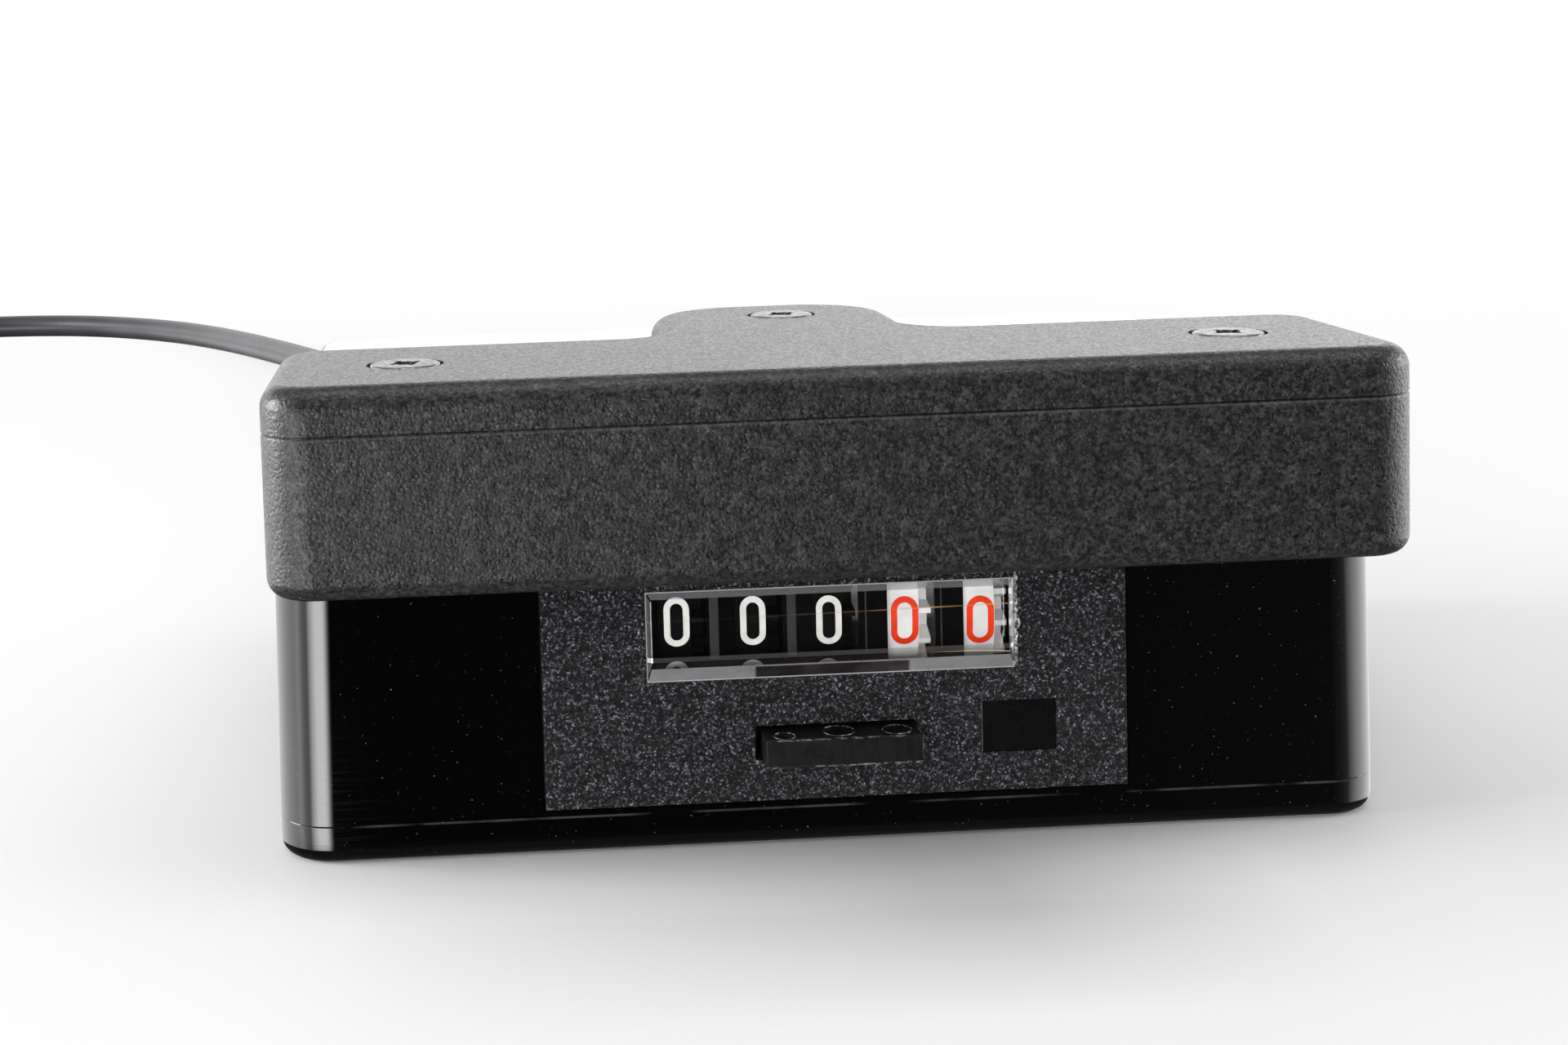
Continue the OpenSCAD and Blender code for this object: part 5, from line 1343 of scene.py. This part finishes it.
# Plain plastics inside: name, colour, roughness, depth and width of grain, and the nodes they are given to
PLASTICS = (
    ("lamp_yellow", (0.75, 0.6, 0.12), 0.3, 0.01, 0.4, "lamp_leds"),
    ("sleeve_black", (0.02, 0.02, 0.021), 0.5, 0.03, 0.5,
     "counter_sleeve mounting_clip terminal_plate coil_bobbin chips board_socket"),
    ("pinion_cream", (0.62, 0.53, 0.32), 0.4, 0.01, 0.4,
     "pinion_hundreds pinion_tens pinion_units pinion_tenths"),
    ("rocker_grey", (0.045, 0.047, 0.052), 0.45, 0.02, 0.5, "reset_rocker"),
    ("capacitor_sleeve", (0.015, 0.035, 0.13), 0.3, 0.01, 0.6, "capacitors"),
    ("block_blue", (0.03, 0.14, 0.42), 0.42, 0.02, 0.5, "terminal_block"),
)
# Metals inside: name, colour, roughness, stretch and width of the marks, and the nodes they are given to
METALS = (
    ("frame_steel", (0.5, 0.5, 0.51), 0.32, (1, 0.08, 1), 0.3, "frame_left frame_right"),
    ("bright_steel", (0.66, 0.67, 0.69), 0.2, (0.1, 1, 1), 0.2,
     "frame_bars wheel_shaft pinion_shaft reset_shaft armature_spring board_screws"),
    ("magnet_iron", (0.36, 0.36, 0.37), 0.4, (1, 1, 0.1), 0.3, "magnet_yoke armature"),
    ("terminal_brass", (0.66, 0.47, 0.2), 0.28, (1, 1, 1), 0.3, "terminal_pins"),
    ("regulator_tab", (0.3, 0.3, 0.31), 0.4, (1, 1, 1), 0.3, "regulator"),
)


class TRIPMETER_OT_inside(bpy.types.Operator):
    """Gives the lamps, frame, magnet and boards their finish, and makes the springs and inner wires"""
    bl_idname = "tripmeter.inside"
    bl_label = "Inside"

    def execute(self, context):
        for make, table in ((moulded_finish, PLASTICS), (metal_finish, METALS)):
            for *settings, nodes in table:
                paint(make(*settings), *nodes.split())
        paint(glow_finish(), "lamp_diffuser")
        paint(winding_finish(), "coil_winding")
        paint(board_finish("lamp_board_white", (0.7, 0.7, 0.68), (0.62, 0.6, 0.52)), "lamp_board")
        paint(board_finish("main_board_green", (0.012, 0.09, 0.03), (0.022, 0.15, 0.05)), "main_board")
        self.springs(metal_finish("spring_steel", (0.66, 0.67, 0.69), 0.2, (0.1, 1, 1), 0.2))
        insulation = moulded_finish("red_insulation", (0.42, 0.02, 0.015), 0.38, 0.02, 0.4)
        wires("lamp_wire", [self.lamp_route()], 0.6, insulation, "red_wire", "lamp_lead")
        wires("counter_wire", [self.counter_route(x) for x in (-6, 6)], 0.6, insulation, "red_wire",
              "counter_lead")
        wires("supply_wire", [self.supply_route(k) for k in range(3)], 0.7, insulation, "red_wire",
              "inner_cores")
        return {"FINISHED"}

    @staticmethod
    def springs(finish):
        """The button's two return springs"""
        low, high = node_box("reset_springs")
        thick, turns, turn_points, travel = 0.2, 7, 8, 2.5
        around = (high.z - low.z) / 2 - thick
        routes = []
        for x in (low.x + thick + around, high.x - thick - around):
            route = []
            for k in range(turns * turn_points + 1):
                angle = 2 * math.pi * k / turn_points
                along = k / (turns * turn_points)
                route.append((x + around * math.cos(angle),
                              low.y + thick + (high.y - low.y - 2 * thick) * along,
                              (low.z + high.z) / 2 + around * math.sin(angle)))
            routes.append(route)
        coils = wires("reset_coils", routes, thick, finish, "frame_steel", "reset_springs", 1, 1)
        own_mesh(coils)

    @staticmethod
    def lamp_route():
        """From the lamps up into the channel, down through the case's top and over the counter"""
        body_low, body_high = node_box("hood_body")
        case_low, case_high = node_box("case_shell")
        board_low, board_high = node_box("main_board")
        lamps, board = lamp_middle(), board_low.y
        groove = body_high.z - CHANNEL
        over = node_box("counter_sleeve")[1].z + 2.6
        y = case_low.y + LAMP_BACK
        route = [(lamps, body_low.z + 6.2), (lamps, groove - 0.6), (lamps + 0.8, groove + 0.45),
                 (case_low.y - 2.05, groove + 0.6), (y - 1.6, groove + 0.6), (y - 0.4, groove),
                 (y, case_high.z), (y, over + 1.2), (y + 1.2, over), (board - 1, over),
                 (board + 3, over - 1), (board + 4, over - 5), (board + 4, board_high.z)]
        return [(LAMP_X, y, z) for y, z in route]

    @staticmethod
    def counter_route(x):
        """From a terminal of the counter to the board"""
        board_low, board_high = node_box("main_board")
        sleeve_low, sleeve_high = node_box("counter_sleeve")
        y, z = sleeve_high.y, (sleeve_low.z + sleeve_high.z) / 2
        return [(x, y + 4, z + 1), (x, y + 5.4, z + 1.4), (x * 0.9, board_low.y + 4.5, z),
                (x * 0.6, board_low.y + 6, board_high.z + 9), (x * 0.4, board_low.y + 6, board_high.z + 8)]

    @staticmethod
    def supply_route(number):
        """From the lead's end to one place of the terminal block"""
        place = 5.1
        x = -36.2 + place * (number + 0.5)
        end = node_box("case_shell")[1].y - 4.6
        block_y = node_box("main_board")[0].y + 7.6
        return [(LEAD_X + (number - 1) * 1.8, end - 0.1, 12), (LEAD_X + (number - 1) * 2, end - 1.4, 12.2),
                (x, block_y + 9.3, 12.6), (x, block_y + 8, 12.8), (x, block_y + 6, 12.8)]


class TRIPMETER_OT_relief(bpy.types.Operator):
    """Makes the ribbed strain relief in the back wall"""
    bl_idname = "tripmeter.relief"
    bl_label = "Strain relief"

    @staticmethod
    def outline(low, high):
        """Each step of the boot, as distance along Y and radius"""
        inner_flange = 2.1
        wall_out = low.y + inner_flange + WALL
        flange, flange_edge, neck, body, waist, mouth = 7.0, 6.8, 5.5, 4.9, 3.6, 3.93
        ribs, pitch, groove = 5, 3.1, 1.3
        body_start = wall_out + 1.8
        neck_start, neck_end = wall_out - 2.55, wall_out + PASS_GAP
        steps = [(low.y, flange), (neck_start, flange), (neck_start, neck), (neck_end, neck),
                 (neck_end, flange_edge), (wall_out + 0.35, flange), (wall_out + 1.6, flange),
                 (body_start, flange_edge), (body_start, body)]
        taper = 1.0 / (high.y - body_start)
        for k in range(ribs):
            start = wall_out + 4.6 + pitch * k
            end = start + groove
            outer = body - taper * (start - body_start)
            inner = body - taper * (end - body_start)
            steps += [(start - 0.15, outer), (start, outer - 0.12), (start, waist), (end, waist),
                      (end, inner - 0.12), (end + 0.15, inner)]
        return steps + [(high.y - 0.4, mouth), (high.y, waist)]

    def execute(self, context):
        (at, radius), *steps = self.outline(*node_box("cable_relief"))
        deselect()
        bpy.ops.mesh.primitive_circle_add(vertices=48, radius=radius * MM, fill_type="NGON",
                                          location=(LEAD_X * MM, at * MM, LEAD_Z * MM),
                                          rotation=(math.pi / 2, 0, 0))
        boot = settle(context.object)
        boot.name = "lead_boot"
        bpy.ops.object.mode_set(mode="EDIT")
        bpy.ops.mesh.select_all(action="SELECT")
        for y, r in steps:
            bpy.ops.mesh.extrude_region_move(TRANSFORM_OT_translate={"value": (0, (y - at) * MM, 0)})
            bpy.ops.transform.resize(value=(r / radius, 1, r / radius))
            at, radius = y, r
        bpy.ops.mesh.select_all(action="SELECT")
        bpy.ops.mesh.normals_make_consistent(inside=False)
        leave_edit()
        rubber = moulded_finish("relief_rubber", (0.016, 0.016, 0.017), 0.55, 0.04, 0.4, 0.35)
        dress(boot, rubber, "lead_rubber", "case", "cable_relief", angle=40)
        return {"FINISHED"}


# How bright the surroundings look to the object, by the angle from straight in front, positive to the left:
# pairs of degrees and strength, for what lies at eye height and above and for what lies near the floor
BRIGHT_ABOVE = (
    (-180, 1.0), (-130, 2.2), (-100, 2.5), (-70, 1.4), (-45, 0.15), (-20, 0.03), (20, 0.03), (42, 0.2),
    (62, 1.4), (78, 3.4), (108, 3.2), (140, 1.6), (180, 1.0))
BRIGHT_BELOW = (
    (-180, 1.1), (-143, 1.3), (-123, 2.2), (-103, 2.9), (-83, 2.8), (-73, 2.3), (-63, 1.4), (-54, 0.35),
    (-42, 0.17), (-22, 0.05), (-8, 0.02), (4.2, 0.01), (5.5, 0.3), (8, 0.9), (12, 4.9), (17, 10.5),
    (22, 12.5), (34, 12.0), (44, 7.3), (53, 1.6), (62, 1.9), (74, 3.9), (85, 3.0), (105, 2.9), (125, 2.6),
    (145, 1.8), (160, 1.2), (180, 1.1))
BRIGHTEST = 16
# Soft lights: name, place, point it looks at, size, power, and whether it leaves no reflection
LIGHTS = (
    ("overhead", (0.0, -0.12, 0.8), (0, 0, 0), (1.0, 0.35), 2.8, False),
    ("left_softbox", (-0.75, 0.0, 0.2), (-0.05, -0.03, 0.03), (0.4, 0.34), 8, False),
    ("right_softbox", (0.75, 0.0, 0.2), (0.05, -0.03, 0.03), (0.3, 0.34), 2.5, False),
    ("back_panel", (0.0, 1.1, 0.45), (0, 0, 0.03), (1.8, 0.7), 4.3, False),
    ("front_fill", (-0.2, -0.75, 0.55), (0, -0.02, 0.03), (0.5, 0.3), 1.5, True),
    ("front_low", (-0.15, -0.9, 0.13), (0, -0.02, 0.02), (0.7, 0.2), 7.8, True),
)


class TRIPMETER_OT_stage(bpy.types.Operator):
    """Sets the pale floor, the white surroundings and the soft lights"""
    bl_idname = "tripmeter.stage"
    bl_label = "Stage"

    def execute(self, context):
        deselect()
        bpy.ops.mesh.primitive_plane_add(size=12, location=(0, 0, 0))
        floor = context.object
        floor.name = "pale_floor"
        floor.data.materials.append(self.floor_finish(tuple(look().floor)))
        floor.visible_glossy = False
        self.surroundings(context)
        for settings in LIGHTS:
            self.light(*settings)
        context.scene.view_settings.view_transform = "Standard"
        return {"FINISHED"}

    @staticmethod
    def floor_finish(pale):
        """Matt and pale: darker just before the object, a painted shade and soft reflection of it, glowing
        white further back
        """
        f = Finish("pale_floor", pale, 0.7, Specular=0.1)
        place = f.place()
        x, y = place.part(0), place.part(1)
        # Painted shade and reflection of the object: the floor's colour is darker in a patch just before it
        front = y.above(-70, -50) * y.above(-22, -34) * x.above(-44, 5) * x.above(36, 12)
        f.colour(front, pale, shade(pale, 0.62))
        f.rough(f.noise(30, 2), 0.65, 0.75)
        camera_ray, glossy_ray, through_ray = (f.node("ShaderNodeLightPath", output=k) for k in (0, 3, 6))
        seen = (camera_ray + glossy_ray + through_ray).above(0, 1)
        beside = (x * x).above(60 ** 2, 170 ** 2) * 0.8
        f.over(y.above(40, 420, beside, 1) * seen, f.node("ShaderNodeEmission", {0: (1, 1, 1, 1), 1: 1.0}))
        return f.material

    @staticmethod
    def surroundings(context):
        """White to the camera; to the object bright all round and dark in front, as in a light tent"""
        world = bpy.data.worlds.new("white_surroundings")
        context.scene.world = world
        world.use_nodes = True
        nodes = Nodes(world.node_tree)

        def ramp(value, stops):
            """Strength by angle, from a table of stops"""
            one = nodes.node("ShaderNodeFloatCurve", {"Value": value.above(-math.pi, math.pi)})
            mapping = one.socket.node.mapping
            curve = mapping.curves[0]
            points = [((angle + 180) / 360, strength / BRIGHTEST) for angle, strength in stops]
            curve.points[0].location, curve.points[1].location = points[0], points[-1]
            for point in points[1:-1]:
                curve.points.new(*point)
            for point in curve.points:
                point.handle_type = "VECTOR"
            mapping.update()
            return one * BRIGHTEST

        def blend(factor, first, second):
            return nodes.node("ShaderNodeMix", {0: factor, 2: first, 3: second}, data_type="FLOAT")

        way = nodes.node("ShaderNodeTexCoord")
        right, back, up = (nodes.node("ShaderNodeSeparateXYZ", {0: way}, output=k) for k in (0, 1, 2))
        turn = way.maths("ARCTAN2", right * -1.0, back * -1.0)
        table = blend(up.above(-0.36, -0.42), ramp(turn, BRIGHT_BELOW), 0.1)
        sky = blend(up.above(0.3, 0.5), ramp(turn, BRIGHT_ABOVE), 0.3)
        around = blend(up.above(-0.10, -0.16), sky, table)
        camera_ray, through_ray = (nodes.node("ShaderNodeLightPath", output=k) for k in (0, 6))
        seen = way.maths("MAXIMUM", camera_ray, through_ray)
        background = world.node_tree.nodes["Background"]
        nodes.link(blend(seen, around, 1.0), background.inputs["Strength"])
        nodes.link((1, 1, 1, 1), background.inputs["Color"])

    @staticmethod
    def light(name, place, target, size, power, no_reflection):
        """A soft rectangular light that looks at a point"""
        bpy.ops.object.light_add(type="AREA", location=place)
        light = bpy.context.object
        light.name = name
        light.data.shape = "RECTANGLE"
        light.data.size, light.data.size_y = size
        light.data.energy = power
        light.visible_glossy = not no_reflection
        way = Vector(target) - Vector(place)
        light.rotation_euler = way.to_track_quat("-Z", "Y").to_euler()


STEPS = (TRIPMETER_OT_camera, TRIPMETER_OT_lead, TRIPMETER_OT_case, TRIPMETER_OT_hood,
         TRIPMETER_OT_counter_front, TRIPMETER_OT_wheels, TRIPMETER_OT_inside, TRIPMETER_OT_relief,
         TRIPMETER_OT_stage)


class TRIPMETER_PT_panel(bpy.types.Panel):
    """The trip meter's pieces, sizes and colours"""
    bl_idname = "TRIPMETER_PT_panel"
    bl_label = "Trip meter"
    bl_space_type = "VIEW_3D"
    bl_region_type = "UI"
    bl_category = "Trip meter"

    def draw(self, context):
        for step in STEPS:
            self.layout.operator(step.bl_idname)
        for group in (context.scene.trip_meter_sizes, context.scene.trip_meter_look):
            for name in group.__annotations__:
                self.layout.prop(group, name)


CLASSES = (TripMeterLook, TripMeterSizes) + STEPS + (TRIPMETER_PT_panel,)


def register():
    for one in CLASSES:
        bpy.utils.register_class(one)
    bpy.types.Scene.trip_meter_look = bpy.props.PointerProperty(type=TripMeterLook)
    bpy.types.Scene.trip_meter_sizes = bpy.props.PointerProperty(type=TripMeterSizes)


def unregister():
    del bpy.types.Scene.trip_meter_look
    del bpy.types.Scene.trip_meter_sizes
    for one in reversed(CLASSES):
        bpy.utils.unregister_class(one)


def main():
    register()
    bpy.ops.tripmeter.camera()
    bpy.ops.tripmeter.lead()
    bpy.ops.tripmeter.case()
    bpy.ops.tripmeter.hood()
    bpy.ops.tripmeter.counter_front()
    bpy.ops.tripmeter.wheels()
    bpy.ops.tripmeter.inside()
    bpy.ops.tripmeter.relief()
    bpy.ops.tripmeter.stage()


if __name__ == "__main__":
    main()
